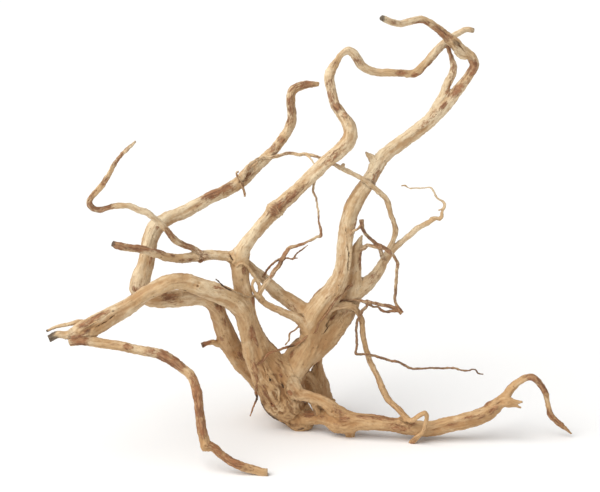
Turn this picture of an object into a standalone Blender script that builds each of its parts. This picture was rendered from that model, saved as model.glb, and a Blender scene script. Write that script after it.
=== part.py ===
"""A spiderwood root: one grown piece of wood, standing on its sawn foot.

Every limb, root and twig is drawn by hand as a route: the places that its middle line passes, with
its thickness there. The routes are drawn as the root is seen from the front and a little above, so
a place is (across, down, back, radius), in millimetres:

    across   to the right of the view's left edge, as seen
    down     below the view's top edge, as seen
    back     how far the place lies behind the foot in truth; in front of it is negative
    radius   half the thickness, as seen

What is seen nearer the eye looks larger, and stand() allows for that, so the solid has its true
sizes. Each route becomes a lumpy tube, and one union makes all tubes a single solid.
"""

import math

import bmesh
import bpy
from mathutils import Matrix, Vector, noise

MM = 0.001

# How the routes are seen: the eye looks down by this angle, from this far away
SIGHT_TILT = math.radians(15)
SIGHT_DISTANCE = 1800
SIGHT_MIDDLE = 300, 246  # the middle of the view
FOOT_SEEN = 300, 428  # where the foot is seen, which is the origin of the frame

# Tube shape. A ring is left out where the limb is so straight and even that it makes no difference
SIDES = ((9.0, 11), (5.0, 9), (3.4, 7), (2.2, 6), (1.3, 5), (0.0, 4))  # (radius from, sides)
SPLINE_STEP = 1.0
RING_STEP_LEAST = 0.9  # as a share of the radius
RING_STEP_MOST = 30.0
BEND_ERROR = 0.5  # how far a middle line may leave the straight run between two rings
BEND_ERROR_SHARE = 0.07  # the same as a share of the radius, whichever is larger

# Surface lumps, as shares of the radius
OVAL = 0.07
RIDGE = 0.05
LUMP = 0.09
LUMP_LENGTH = 26  # typical length of a swelling

# The foot is sawn flat and stands on the ground plane, and so does each low point
FOOT_CUT_DEPTH = 40
FOOT_CUT_SIZE = 900

WOOD_COLOUR = (0.56, 0.37, 0.19, 1.0)
WOOD_ROUGHNESS = 0.75

# The stems that carry everything, from the foot upwards
STEMS = {
    "left_stem": [
        (294, 413, 3, 9), (287.5, 404.5, 2, 15.5), (283, 395, 1, 19),
        (278.5, 381, -3, 18), (267.5, 363, -8, 14.8), (258, 347, -12, 11.5),
        (252, 331, -14, 9.6), (248, 316, -15, 8.8), (245.5, 300, -15, 8.3),
        (241.8, 285, -14, 8.4), (239.6, 270, -13, 8.2), (239, 256, -12, 7.6),
    ],
    "right_stem": [
        (296, 412, 3, 9), (287.5, 404, 3, 12.5), (288, 390, 2, 13.5),
        (291.5, 372, 3, 12.6), (299.5, 358, 4.5, 13), (312, 348, 6, 12.6),
        (322, 338.5, 8, 13.4), (333, 326, 10, 11.8), (343, 313, 12, 10.2),
        (350, 300, 14, 9.2), (353.5, 287, 14, 8), (355, 273, 13, 6.4),
        (355.6, 260, 12, 5.7), (356.3, 250, 11, 5), (359, 242, 10, 3.4),
        (363, 235, 9, 1),
    ],
    "foot": [
        (283, 411, 4, 8.5), (291, 414.5, 3, 10.5), (302, 418, 0.5, 12.4),
        (308, 416.5, -3, 7.5),
    ],
    "foot_left_lobe": [
        (277, 391, 0, 13.5), (277, 400, 4, 11.8), (280.5, 409.5, 6, 9),
    ],
    "back_foot": [
        (319, 348, 13, 4.6), (317.8, 354, 17, 3.7), (318, 362, 22, 3.9),
        (317.8, 372, 28, 6.2), (317, 382, 36, 10), (318, 393, 44, 11.8),
        (322, 404, 54, 9.6), (323, 411, 61, 8.5),
    ],
}

# The heavy limbs that leave the stems
LIMBS = {
    "left_arm": [
        (278, 396, -6, 12), (269, 384, -12, 13), (261, 370, -16, 11.5),
        (254.5, 357, -19, 10), (250.5, 344, -22, 8.5), (247.5, 328, -26, 7.8),
        (244, 312, -30, 8.8), (233, 300.5, -34, 9.6), (220, 293.5, -40, 9.7),
        (205, 288.3, -46, 9.5), (188, 282.2, -50, 9.2), (172, 282, -55, 8.1),
        (150, 291.7, -60, 7.6), (130, 305.3, -66, 7.8), (110, 316.5, -71, 8.8),
        (95, 325, -75, 9), (82, 331, -78, 8), (73, 334, -80, 5.5),
    ],
    "left_arm_stub": [
        (84, 332, -79, 6), (73, 335, -80, 4), (65, 335.5, -81, 3.6), (57.4, 335.2, -82, 3.5),
        (48.5, 338.4, -84, 3.3),
    ],
    "forward_leg": [
        (69.5, 341.6, -81, 4.4), (83, 340, -82, 4.9), (101, 343, -83, 4.5),
        (121.6, 346, -84, 4.6), (137, 349.5, -85, 4.4), (152, 352, -86, 4.7),
        (162.4, 355, -88, 4.9), (171.6, 361, -90, 4.6), (183, 369.3, -93, 4.8),
        (190.5, 375.2, -96, 5), (195.6, 387, -101, 4.7), (198.3, 401.4, -105, 4.8),
        (199.9, 416.7, -108, 4.7), (202.4, 432, -111, 4.7), (206, 444.5, -113, 4.9),
        (213, 447.3, -114, 4.3), (219.8, 453.5, -116, 4.2), (230, 461, -119, 4),
        (240, 465.4, -121, 4.1), (252.4, 469.3, -122, 4), (261.6, 472.4, -123, 3.9),
        (267.5, 473, -123, 3.9),
    ],
    "rear_arm": [
        (277, 404, 72, 9), (274, 398, 60, 9.5), (269, 393, 46, 10), (262.5, 387, 34, 8),
        (257.5, 378.5, 27, 8.2), (248.4, 367.9, 20, 8.8), (239.2, 357, 14, 9.2),
        (230.5, 343.7, 6, 9.5), (224, 330, -2, 9.4), (220, 318, -9, 8.6),
        (214.4, 306, -18, 8.2), (205, 298.3, -28, 8), (190, 297, -36, 7.8),
        (172, 298.5, -40, 7.8), (156, 299.3, -41, 7.6), (144.6, 296, -38, 8.6),
        (139, 287, -36, 9.6), (141.5, 275.5, -32, 9.3), (145, 265, -28, 8.6),
        (147.6, 252, -24, 8.2), (150, 239, -20, 8.5), (155.8, 227.5, -15, 8.4),
        (166, 219.8, -8, 6.9), (184.3, 212.3, 2, 6.1), (205.5, 199.8, 12, 5.6),
        (226.6, 190, 22, 5.6), (240.6, 181.6, 30, 6), (248.6, 173.3, 35, 6.2),
        (257.8, 165.2, 40, 5.7), (266.3, 157.8, 43, 5.5), (273.8, 149.8, 46, 5.2),
        (282, 138.9, 50, 5), (287.5, 131, 53, 5), (291.5, 119, 56, 4.9),
        (290.5, 103, 58, 4.6), (292.4, 92, 60, 4.7), (298, 87.2, 61, 4.7),
        (305.5, 84.6, 63, 3.5), (318.5, 84.5, 66, 2.5),
    ],
    "left_branch": [
        (247, 260, -11, 6), (240, 260, -12, 7.6), (226.5, 256.4, -16, 5.2), (212.4, 255, -22, 4.6),
        (195.6, 256.8, -28, 4.4), (181.6, 258, -34, 4.2), (167.5, 257, -39, 4),
        (156.3, 253.5, -44, 4), (142.3, 249.5, -49, 3.9), (128, 247.5, -54, 4),
        (118, 245.5, -58, 3.8), (112.5, 243.8, -60, 3),
    ],
    "middle_branch": [
        (239.5, 272, -13, 7), (239.2, 260, -13, 7.6), (245, 246.5, -11, 7.2),
        (257, 230.8, -8, 6.5), (269.6, 216, -5, 6.5), (283.8, 201.8, -2, 6.4),
        (296, 191.5, 0, 6.3), (310, 177.4, 3, 6.2), (325.4, 162.5, 6, 6.4),
        (339, 151.3, 9, 7), (348, 141, 11, 7.4), (350.2, 131.5, 13, 7.2),
        (347.4, 122.3, 15, 6.6), (341, 112.8, 18, 5.4), (335, 103, 21, 5),
        (331.8, 91, 25, 4.9), (329.4, 78, 29, 5.2), (332, 68.5, 32, 4.6),
        (336.8, 61.3, 34, 3.6), (341.2, 55, 35, 3), (347, 50.8, 36, 3.8),
        (353, 53, 37, 4), (358, 60, 38, 4), (364, 67.3, 40, 4), (376.5, 72, 43, 3.6),
        (395.7, 73, 47, 3.4), (408.5, 73.6, 50, 3.7), (416.3, 71.8, 52, 4.1),
        (426.4, 61.8, 56, 4.1), (436.9, 50, 60, 4.1), (445, 42.6, 63, 3.9),
        (456.5, 34.4, 66, 3.4), (465.8, 29.8, 68, 3.1), (473.5, 31, 70, 2.6),
    ],
    "right_branch": [
        (296, 368, 0, 10.5), (302, 356, 0, 11.6), (310.5, 339, 0, 10),
        (313.5, 319, -3, 10.6), (322.3, 303.5, -5, 10.9), (333.4, 290.5, -5, 9.3),
        (341, 275, -4, 7.7), (344, 258, -1, 7.2), (345.3, 240, 3, 7.6),
        (347.2, 225, 8, 8), (351.4, 210.3, 13, 8), (357.5, 198.2, 18, 8),
        (367.8, 182.8, 24, 7.7), (377.3, 167, 30, 7.3), (385.5, 155, 34, 7),
        (399.4, 143.5, 38, 6.6), (414, 132.9, 42, 6.4), (429.4, 120.6, 46, 6.5),
        (441.6, 108, 49, 6.8), (451, 98.8, 51, 5.8), (462, 85.3, 52, 4.9),
        (469.2, 75.5, 51, 4.7), (474, 66, 50, 4.7), (471.5, 58, 49, 4.8),
        (466, 52.6, 48, 5.2), (459, 48.6, 47, 6), (452.3, 42, 45, 5.9),
        (445.2, 34.9, 43, 4.4), (436.5, 27.2, 39, 3.8), (427.6, 21.8, 35, 3.5),
        (419.9, 19.3, 31, 3.4), (409.7, 21.1, 26, 3.2), (402, 23.6, 22, 3.4),
        (393, 22.3, 18, 3.5), (386, 19.2, 14, 3.3), (380.5, 17.4, 11, 2.8),
    ],
    "right_branch_fork": [
        (437, 107, 50, 5), (442.2, 98, 52, 4.6), (445, 90, 54, 4.3),
        (448.3, 82.3, 55, 4.1), (452.2, 73.8, 57, 3.9), (453.6, 66.3, 58, 3.3),
        (451, 57.4, 60, 2.4), (448, 48.5, 62, 2.2), (446, 42, 63, 2.6),
    ],
    "right_fork": [
        (349, 303, 13, 8), (354, 294, 14, 8.5), (363, 287, 16, 8), (372, 279.5, 18, 6.3),
        (379, 270, 20, 5.5), (383.5, 261, 21, 4.6), (388.5, 254.5, 22, 3.8), (394, 249, 23, 3.3),
        (404.6, 239.4, 25, 2.9), (415, 230.5, 27, 2.7), (422, 226, 28, 2.4),
        (427.8, 222.5, 29, 2.2), (433.4, 218.8, 30, 2), (439.5, 219, 31, 1.9),
        (442, 216.5, 31, 1.7), (442.5, 210.6, 32, 1.5), (444.3, 206, 32, 1.4),
        (442.5, 201.5, 33, 1.2), (437, 198.5, 33, 1.1), (434, 193, 34, 1), (430.6, 188, 35, 1),
        (420.8, 187.8, 36, 0.9), (410, 188.5, 37, 0.8), (406, 186.5, 37, 0.8),
        (401, 186.3, 38, 0.7),
    ],
    "ground_branch_arch": [
        (286, 382, -10, 9), (293, 389, -13, 7.5), (300, 394.5, -16, 6),
        (308, 396.3, -18.5, 5.1), (317, 398.8, -20, 4.9), (325, 402.6, -21, 5.3),
        (333, 408.6, -22, 6.4), (341, 414.5, -23, 7.5),
    ],
    "ground_branch": [
        (296, 417, -2, 9), (304, 418, -7, 6.8), (313, 418, -11, 6.3),
        (325, 417.8, -15, 7.3), (336, 419.3, -20, 10), (345, 421, -24, 10.3),
        (354, 421.5, -27, 9), (363, 421.8, -29, 8), (390, 424.4, -32, 7.5),
        (411, 427.8, -31, 8.4), (430, 429, -33, 7.8), (450, 424, -35, 7.8),
        (470, 419.5, -35, 7.2), (485.5, 414, -33, 6.8), (496, 406.5, -31, 5.6),
        (503.7, 398.5, -30, 4.4), (510.3, 390.3, -29, 3.7), (518.3, 382.2, -28, 3.4),
        (526.4, 377.8, -27, 3.4), (533.4, 378, -26, 3.4), (539.6, 384, -25, 3.4),
        (544.9, 392.3, -24, 3.1), (547.4, 402, -23, 2.6), (549, 410.5, -23, 2.9),
        (553.3, 417.8, -23, 2.9), (562.4, 425.5, -24, 2.4), (572, 434, -25, 1),
    ],
    "cross_branch": [
        (316, 321, 0, 8), (309, 314.5, 2, 8.6), (300, 309, 4, 7.7), (292, 303, 6, 7.2),
        (281, 295.5, 8, 6.4), (273, 288.5, 8, 5.8), (266, 280, 7, 5),
        (258, 272.5, 4, 4), (250, 266, -1, 3.4), (243, 260, -6, 4),
    ],
}

# Thin roots and twigs. Those that reach into the air end in a thin tip
TWIGS = {
    "left_twig": [
        (209, 256, -21, 3.4), (203, 255, -25, 3.4), (192.8, 249, -30, 3.2),
        (183, 244.9, -35, 3.2), (174.5, 239.3, -39, 3.2), (167.5, 230.8, -42, 3.2),
        (159, 222.4, -44, 3.2), (149.3, 214.5, -46, 3), (139.4, 210, -47, 3),
        (128.2, 206.3, -48, 3), (117, 206.3, -49, 3), (108.6, 208, -50, 2.7),
        (100.2, 209.8, -51, 2.7), (93, 208, -52, 2.8), (89.6, 202, -53, 2.8), (93, 196, -54, 2.8),
        (100.2, 187, -55, 2.7), (108.6, 174.7, -57, 2.4), (114.2, 164.5, -59, 2.2),
        (119.8, 156.5, -60, 2), (128.2, 148, -61, 1.8), (136, 141.5, -62, 1.1),
    ],
    "left_arm_twig": [
        (95, 324, -72, 4), (88, 324, -72, 3), (79, 322.4, -72, 2.2), (63.8, 325.6, -74, 2),
        (54.8, 327.6, -75, 1.7), (46.5, 331, -76, 1),
    ],
    "rear_arm_stub": [
        (230, 342, 6, 5), (221, 344, 2, 4.4), (213, 342.6, -2, 3),
        (206.5, 343.2, -4, 2.4), (201.8, 345, -5, 2.6),
    ],
    "crossing_root": [
        (309, 330, -4, 7), (303, 323, -7, 5.6), (297, 318, -10, 4.4), (288, 314, -12, 3.8),
        (280, 310.8, -13, 3.5), (271.5, 307.5, -14, 3.2), (264.5, 303, -15, 3),
        (260, 297, -16, 2.9),
        (260, 292, -17, 2.6), (262.5, 288, -17, 2.6), (266.6, 283.4, -17, 2.6),
        (270.8, 276.4, -16, 2.4), (274.3, 270, -15, 2.2), (278.5, 265, -14, 2.1),
        (282.7, 258, -13, 2), (286.2, 252, -12, 1.9), (289.7, 247.8, -11, 1.8),
        (295.4, 246, -10, 1.6), (302.4, 244, -9, 1.5), (310.8, 240.5, -8, 1.4),
        (317.8, 237, -6, 1.4), (321.3, 236, -5, 1.6), (320.5, 229, -4, 1.2), (319, 222, -3, 1.1),
        (318, 210, -1, 1.1), (316.5, 199, 1, 1.2), (313.2, 191, 4, 1.4), (314, 184, 8, 1.4),
        (316.5, 177, 12, 1.2), (315, 168, 16, 1.1), (311, 160, 20, 1), (307, 155.3, 25, 1.2),
    ],
    "long_vine": [
        (258, 164, 36, 2), (263, 157, 37, 1.8), (270, 157.3, 36, 1.9), (278.6, 155.3, 34, 1.8),
        (288.5, 153, 31, 1.7), (297.7, 154.7, 28, 1.6), (305.4, 154.5, 26, 1.6),
        (313, 156, 24, 1.6), (320, 158.5, 22, 1.6), (332, 163.5, 20, 1.9), (338, 167, 18, 2.1),
        (345, 170.6, 16, 2.3), (355.5, 175.5, 13, 2.4), (364, 180, 13.5, 2.5),
        (371.7, 185.4, 15.5, 2.6), (380, 192.4, 18, 2.7), (385.7, 198.7, 19, 2.7),
        (389, 205.7, 20, 2.7), (391, 214, 21, 2.6), (394, 224.6, 22, 2.8), (394.8, 230, 22, 2.9),
        (393.4, 238.7, 22, 2.8), (390.6, 245.7, 22, 2.7), (387.5, 252, 21, 2.8),
    ],
    "torn_ridge": [
        (241, 180, 22, 2.6), (247.5, 168.5, 27, 2), (256, 160.5, 33, 1.8), (266, 157.5, 37, 1.6),
    ],
    "hooked_rootlet": [
        (245, 185, 25, 2), (241.5, 181, 22, 1.6), (238, 176, 21, 1.4), (237, 172, 21, 1.2),
        (239.5, 171, 21, 0.9),
    ],
    "hanging_rootlet": [
        (242, 184, 24, 2), (243.5, 189, 23, 1.4), (244.5, 193, 23, 1.2), (244, 197, 23, 0.8),
    ],
    "stem_loop": [
        (233, 272, -14, 1.8), (234.5, 269.5, -18, 1.4), (236.4, 267.3, -21, 1.4),
        (239.2, 263.8, -22, 1.4), (243.4, 263, -22, 1.5), (247.6, 266.6, -21, 1.5),
        (251.8, 273, -19, 1.6), (256, 278.5, -18, 1.8), (258.8, 285, -17, 2),
        (260, 292, -17, 2.2),
    ],
    "stem_loop_return": [
        (258.5, 281, -17, 1.6), (254.7, 279.8, -19, 1.5), (252, 284, -20, 1.5),
        (254, 291, -19, 1.7), (258.5, 296, -17, 2.2),
    ],
    "dark_twig": [
        (261, 299, -16, 1.6), (255.4, 296, -20, 1.3), (251.8, 295.8, -24, 1.1),
        (248.3, 297, -28, 1.1), (244, 295.4, -34, 1), (239.2, 293.4, -42, 1), (232, 291, -52, 0.9),
        (223.6, 285.6, -58, 0.8), (215.2, 279.3, -62, 0.6),
    ],
    "thin_fork": [
        (261.5, 277, 4, 1.8), (264.5, 274, 1, 1.2), (268.7, 268.7, -4, 1), (273.6, 263, -9, 1),
        (277.8, 259.6, -12, 1.1), (281.5, 259, -13, 1.2), (286.2, 258.2, -13, 1),
        (291, 259.2, -13, 0.9), (294.6, 258.9, -13, 0.9), (298.2, 257.8, -13, 0.9),
    ],
    "thin_fork_tip": [
        (293, 259.6, -13, 1), (294.8, 257.5, -13, 0.9), (297.5, 253.2, -14, 0.8),
        (302.4, 249, -15, 0.8), (308, 245.5, -16, 0.7),
    ],
    "arching_root": [
        (315, 321, -4, 5), (322, 316, -6, 4), (331, 309, -7, 3.5),
        (340, 305.7, -6, 3.4), (346.4, 305.3, -4, 3.4), (352.8, 306.8, -1, 3.3),
        (357.2, 311.5, 1, 3.3), (360.8, 318, 2, 3.2), (362.6, 326, 2, 3.2),
        (363.4, 335.4, 1, 3.1), (366.7, 349.5, 0, 3), (372.2, 365.8, -3, 2.9),
        (379.8, 382, -8, 3), (386.4, 397.2, -14, 3.1), (394.2, 406, -20, 3),
        (401.8, 413, -26, 2.9), (407.5, 420, -31, 3.4),
    ],
    "wrapped_root": [
        (404, 419, -35, 3), (408, 419.5, -40, 2.5), (412, 420.5, -44, 2.3), (416, 418.5, -47, 2.3),
        (420.7, 415.4, -48, 2.3), (425.5, 413.5, -48, 2.3), (427.3, 418, -48, 2.3),
        (424.5, 426, -47, 2.3), (420.7, 433, -45, 2.4), (413.5, 441, -42, 2.8),
        (411, 444.5, -41, 2.8),
    ],
    "angled_twig": [
        (309, 313, -10, 2), (319, 307, -14, 1.2), (330, 304, -11, 1.1), (340, 301, -2, 1.2),
        (349.6, 300.3, 2, 1.3), (359, 300.5, 3, 1.4), (365.5, 301.7, 2, 1.6), (375, 303.3, 1, 1.5),
        (383.4, 305, 0, 1.6), (391, 306.8, -1, 1.8), (397.4, 309.5, -3, 2.4),
        (401.5, 313.5, -4, 2.6),
    ],
    "angled_twig_loop": [
        (367, 302.7, 2, 1.4), (373.2, 306.5, 2, 1.1), (378.3, 307.2, 1, 1.1), (382, 310.4, 0, 1.2),
        (385.9, 311.6, 0, 1.2), (392.3, 311, -1, 1.4), (397, 310.8, -3, 1.8),
    ],
    "standing_twig": [
        (399, 309.5, -4, 2.2), (396.8, 304, -3, 2), (395.2, 299, -2, 2), (395.5, 290.6, -1, 2),
        (395.5, 284.5, 0, 2), (396, 275, 1, 1.9), (396.3, 270, 2, 1.9), (396.8, 263, 3, 1.9),
        (394.5, 258, 3, 1.8), (391, 253, 2, 1.8), (385.9, 249, 0, 1.9), (379.5, 245.5, -1, 1.8),
        (373, 241, -2, 1.6), (366.8, 236, -3, 1.5), (363, 230, -4, 1.5), (361.8, 224.6, -4, 1.7),
        (361.8, 219.7, -4, 2.2),
    ],
    "knobbly_twig": [
        (356.5, 252, 10, 3.4), (361, 248.4, 8, 2.9), (364, 248, 6, 2.6),
        (368, 245.6, 3, 2.3), (373, 246, 1, 2.2), (380, 246.3, -1, 2.2),
    ],
    "nub_link": [
        (361.8, 225, -4, 1.6), (357, 229, -2, 1.3), (353, 232, -1, 1.3), (349.5, 236, 0, 1.4),
    ],
    "short_link": [
        (379.5, 246, -1, 1.9), (381.2, 252, 9, 1.9), (383, 260, 19, 2.3),
    ],
    "hanging_twig": [
        (367.5, 302, 2, 1.8), (366.8, 306.5, 1, 1.5), (363, 310.5, -3, 1.5),
        (359.8, 315.5, -4, 1.5),
        (357.2, 321, -4, 1.4), (356.8, 330, -4, 1.2), (356.8, 341, -5, 1.2), (355.7, 353, -7, 1.4),
        (360, 354.6, -7.5, 1.3), (367, 355, -8, 1.2), (378, 356.6, -10, 1.2),
        (389.9, 360.4, -11, 1.3),
        (400.7, 362.5, -11, 1.3), (412.6, 368.5, -11, 1.1), (432, 368, -12, 1), (450, 368, -13, 1),
        (460, 370, -13, 0.9), (467.7, 371, -13, 0.9), (472, 369.8, -13, 0.8), (476, 370, -13, 0.8),
        (478.2, 373, -13, 0.7), (483.8, 373.8, -14, 0.6),
    ],
    "clinging_root": [
        (352, 284, 6, 1.4), (344.5, 290.4, -2, 1.2), (338.9, 296.8, -10, 1.2),
        (333.2, 303.8, -14, 1.2), (328.3, 311.5, -14, 1.2), (322.7, 317.8, -13, 1.2),
        (318, 325, -12, 1.2), (315.2, 331.4, -11, 1.2), (307.5, 336.3, -11, 1.2),
        (299.7, 342, -10, 1.2), (290, 346, -10, 1.2), (283.6, 348.6, -14, 1.2),
        (275.9, 351, -20, 1.2), (271, 352.5, -24, 1.2), (266, 356, -26, 1.2),
        (261.8, 361.6, -27, 1.2), (255.5, 365.8, -27, 1.2), (256.6, 375, -27, 1.2),
        (257.3, 382, -25, 1.2), (255.5, 392.5, -19, 1.1), (256.6, 398, -16, 1),
        (253.4, 408.6, -15, 0.9), (250, 415.6, -15, 0.8),
    ],
    "drooping_rootlet": [
        (300, 325, -8, 1.4), (296.3, 328.5, -9, 0.9), (290.2, 334, -10, 0.9), (289, 340, -11, 0.8),
        (284.6, 345.6, -13, 0.7),
    ],
    "ground_branch_stub": [
        (490, 408, -31, 5.4), (498.5, 404, -33, 4.8), (506.3, 401.2, -35, 4.2),
        (513, 402.3, -37, 3.2), (518, 402, -38, 2), (523.4, 401.4, -39, 1),
    ],
    "ground_branch_thorn": [
        (508, 403.6, -37, 3.8), (515, 406, -39, 2.3), (521.8, 408, -40, 1),
    ],
    "right_branch_thorn": [
        (375, 161, 31, 5), (370, 157, 29, 3), (366.5, 154.3, 28, 1.8), (365, 152, 27, 0.9),
    ],
    "back_foot_nub": [(324, 401, 46, 4), (331, 400.5, 47, 2.6), (335, 401, 48, 1.6)],
    "fork_thorn": [(444.6, 206.6, 32, 1.4), (441, 209, 31, 0.9), (438, 210.6, 31, 0.6)],
    "knuckle": [(206, 443, -113, 3.8), (205, 448, -114, 3.4), (204.8, 451, -115, 2)],
    "left_branch_knot": [(200, 256.5, -27, 4), (200.5, 260.4, -27, 2.6), (200.5, 262.4, -27, 1.2)],
    "middle_branch_knot": [(273, 208, -5, 6), (278, 212.5, -6, 4.4), (280.5, 215.5, -7, 2.4)],
    "vine_knuckle": [(340, 169, 16, 2.4), (343, 166, 15, 2.2), (344.5, 163.5, 15, 1.2)],
    "hollow_link": [
        (313, 400, -19, 3.2), (314.6, 406, -17, 2.3), (318, 412.5, -15, 3.4),
    ],
    "ground_knob_left": [(337, 424, -20, 6), (335, 429, -20, 3.6), (334, 432, -20, 1.8)],
    "ground_knob_right": [(349, 426, -25, 6.5), (350, 432, -24, 5), (350.5, 438, -23, 3.4)],
}


def stand(across, down, back):
    """The place in the frame of a point of a route, and how many times larger than seen it is."""
    sight_height = FOOT_SEEN[1] - SIGHT_MIDDLE[1]
    from_left = across - SIGHT_MIDDLE[0]
    from_middle = SIGHT_MIDDLE[1] - down
    sine, cosine = math.sin(SIGHT_TILT), math.cos(SIGHT_TILT)
    middle = Vector((0, sight_height * sine, sight_height * cosine))
    per_depth = cosine + from_middle * sine / SIGHT_DISTANCE
    depth = (back - middle.y - from_middle * sine) / per_depth
    growth = 1 + depth / SIGHT_DISTANCE
    right, above, away = Vector((1, 0, 0)), Vector((0, sine, cosine)), Vector((0, cosine, -sine))
    seen = (right * from_left + above * from_middle) * growth
    return middle + seen + away * depth, growth


def smooth_line(route):
    """Closely spaced (place, radius) along a Catmull-Rom curve through a route's places."""
    knots = []
    for across, down, back, radius in route:
        place, growth = stand(across, down, back)
        knots.append((place, radius * growth))
    first = knots[0][0] * 2 - knots[1][0], knots[0][1]
    last = knots[-1][0] * 2 - knots[-2][0], knots[-1][1]
    knots = [first, *knots, last]
    line = []
    for (p0, r0), (p1, r1), (p2, r2), (p3, r3) in zip(knots, knots[1:], knots[2:], knots[3:]):
        steps = max(1, round((p2 - p1).length / SPLINE_STEP))
        for step in range(steps):
            t = step / steps
            weights = (
                (-t + 2 * t * t - t**3) / 2,
                (2 - 5 * t * t + 3 * t**3) / 2,
                (t + 4 * t * t - 3 * t**3) / 2,
                (-t * t + t**3) / 2,
            )
            place = sum((p * w for p, w in zip((p0, p1, p2, p3), weights)), Vector())
            radius = sum(r * w for r, w in zip((r0, r1, r2, r3), weights))
            line.append((place, max(radius, min(r1, r2))))
    line.append(knots[-2])
    return line


def run_error(line, first, last):
    """How far the samples between two stations leave the straight run between them."""
    start, end = line[first], line[last]
    run = end[0] - start[0]
    worst = 0.0
    for place, radius in line[first + 1:last]:
        share = (place - start[0]).dot(run) / max(run.length_squared, 1e-9)
        even = start[1] + (end[1] - start[1]) * share
        worst = max(worst, (start[0] + run * share - place).length + abs(even - radius))
    return worst


def ring_stations(line):
    """The samples of a line that get a ring: more of them where the limb bends or swells."""
    picked = [0]
    last = len(line) - 1
    for i in range(1, last):
        here = picked[-1]
        radius = line[i][1]
        travelled = (line[i][0] - line[here][0]).length
        if travelled < RING_STEP_LEAST * radius:
            continue
        allowed = max(BEND_ERROR, BEND_ERROR_SHARE * radius)
        if travelled > RING_STEP_MOST or run_error(line, here, i + 1) > allowed:
            picked.append(i)
    if len(picked) > 1 and (line[last][0] - line[picked[-1]][0]).length < line[last][1] / 2:
        picked.pop()
    picked.append(last)
    return picked


def side_count(route):
    """How many sides a limb has, by its largest radius."""
    largest = max(place[3] for place in route)
    return next(sides for least, sides in SIDES if largest >= least)


def bark_lump(place, turn, along):
    """How much further out than its radius the wood stands there, as a share."""
    oval = OVAL * math.sin(2 * turn + along / 31)
    ridge = RIDGE * math.sin(3 * turn - along / 17 + 1)
    lump = LUMP * noise.noise(place / LUMP_LENGTH)
    return oval + ridge + lump


def limb_mesh(name, route):
    """A closed lumpy tube along a route, as a mesh object."""
    line = smooth_line(route)
    sides = side_count(route)
    shape = bmesh.new()
    rings = []
    across = None
    along = 0.0
    stations = ring_stations(line)
    for order, index in enumerate(stations):
        place, radius = line[index]
        ahead = line[stations[min(order + 1, len(stations) - 1)]][0]
        behind = line[stations[max(order - 1, 0)]][0]
        heading = (ahead - behind).normalized()
        if across is None:
            across = heading.orthogonal().normalized()
        else:
            across = (across - heading * across.dot(heading)).normalized()
            along += (place - line[stations[order - 1]][0]).length
        other = heading.cross(across)
        ring = []
        for side in range(sides):
            turn = 2 * math.pi * side / sides
            out = across * math.cos(turn) + other * math.sin(turn)
            reach = radius * (1 + bark_lump(place + out * radius, turn, along))
            ring.append(shape.verts.new((place + out * reach) * MM))
        rings.append(ring)
    for near, far in zip(rings, rings[1:]):
        for side in range(sides):
            after = (side + 1) % sides
            shape.faces.new((near[side], near[after], far[after], far[side]))
    shape.faces.new(reversed(rings[0]))
    shape.faces.new(rings[-1])
    mesh = bpy.data.meshes.new(name)
    shape.to_mesh(mesh)
    shape.free()
    limb = bpy.data.objects.new(name, mesh)
    return limb


def apply_modifiers(thing):
    """Replaces an object's mesh by what its modifiers make of it."""
    bpy.context.view_layer.update()
    graph = bpy.context.evaluated_depsgraph_get()
    finished = bpy.data.meshes.new_from_object(thing.evaluated_get(graph))
    thing.modifiers.clear()
    thing.data = finished


def join_limbs(name, routes):
    """One solid of all routes: a Boolean union on a collection, which is then removed."""
    parts = bpy.data.collections.new("limbs")
    bpy.context.scene.collection.children.link(parts)
    names = list(routes)
    root = limb_mesh(name, routes[names[0]])
    bpy.context.scene.collection.objects.link(root)
    for limb_name in names[1:]:
        parts.objects.link(limb_mesh(limb_name, routes[limb_name]))
    union = root.modifiers.new("grown together", "BOOLEAN")
    union.operation = "UNION"
    union.solver = "EXACT"
    union.operand_type = "COLLECTION"
    union.collection = parts
    apply_modifiers(root)
    for limb in list(parts.objects):
        bpy.data.objects.remove(limb)
    bpy.data.collections.remove(parts)
    return root


def keep_main_shell(root):
    """Leaves out the walls of the small closed voids that a union leaves where tubes cross."""
    shape = bmesh.new()
    shape.from_mesh(root.data)
    bmesh.ops.triangulate(shape, faces=shape.faces)
    waiting = set(shape.faces)
    shells = []
    while waiting:
        shell = {waiting.pop()}
        growing = list(shell)
        while growing:
            for edge in growing.pop().edges:
                if len(edge.link_faces) > 2:
                    continue
                for other in edge.link_faces:
                    if other not in shell:
                        shell.add(other)
                        growing.append(other)
        waiting -= shell
        shells.append(shell)
    shells.sort(key=len)
    for shell in shells[:-1]:
        bmesh.ops.delete(shape, geom=list(shell), context="FACES")
    shape.to_mesh(root.data)
    shape.free()


def saw_foot(root):
    """Cuts off all that is below the ground plane, so that the low points are small flats."""
    shape = bmesh.new()
    bmesh.ops.create_cube(shape, size=1)
    size = Vector((FOOT_CUT_SIZE, FOOT_CUT_SIZE, FOOT_CUT_DEPTH)) * MM
    below = Matrix.Translation((0, 0, -size.z / 2)) @ Matrix.Diagonal((*size, 1))
    bmesh.ops.transform(shape, matrix=below, verts=shape.verts)
    mesh = bpy.data.meshes.new("ground_cut")
    shape.to_mesh(mesh)
    shape.free()
    ground = bpy.data.objects.new("ground_cut", mesh)
    bpy.context.scene.collection.objects.link(ground)
    cut = root.modifiers.new("sawn foot", "BOOLEAN")
    cut.operation = "DIFFERENCE"
    cut.solver = "EXACT"
    cut.object = ground
    apply_modifiers(root)
    bpy.data.objects.remove(ground)


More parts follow.
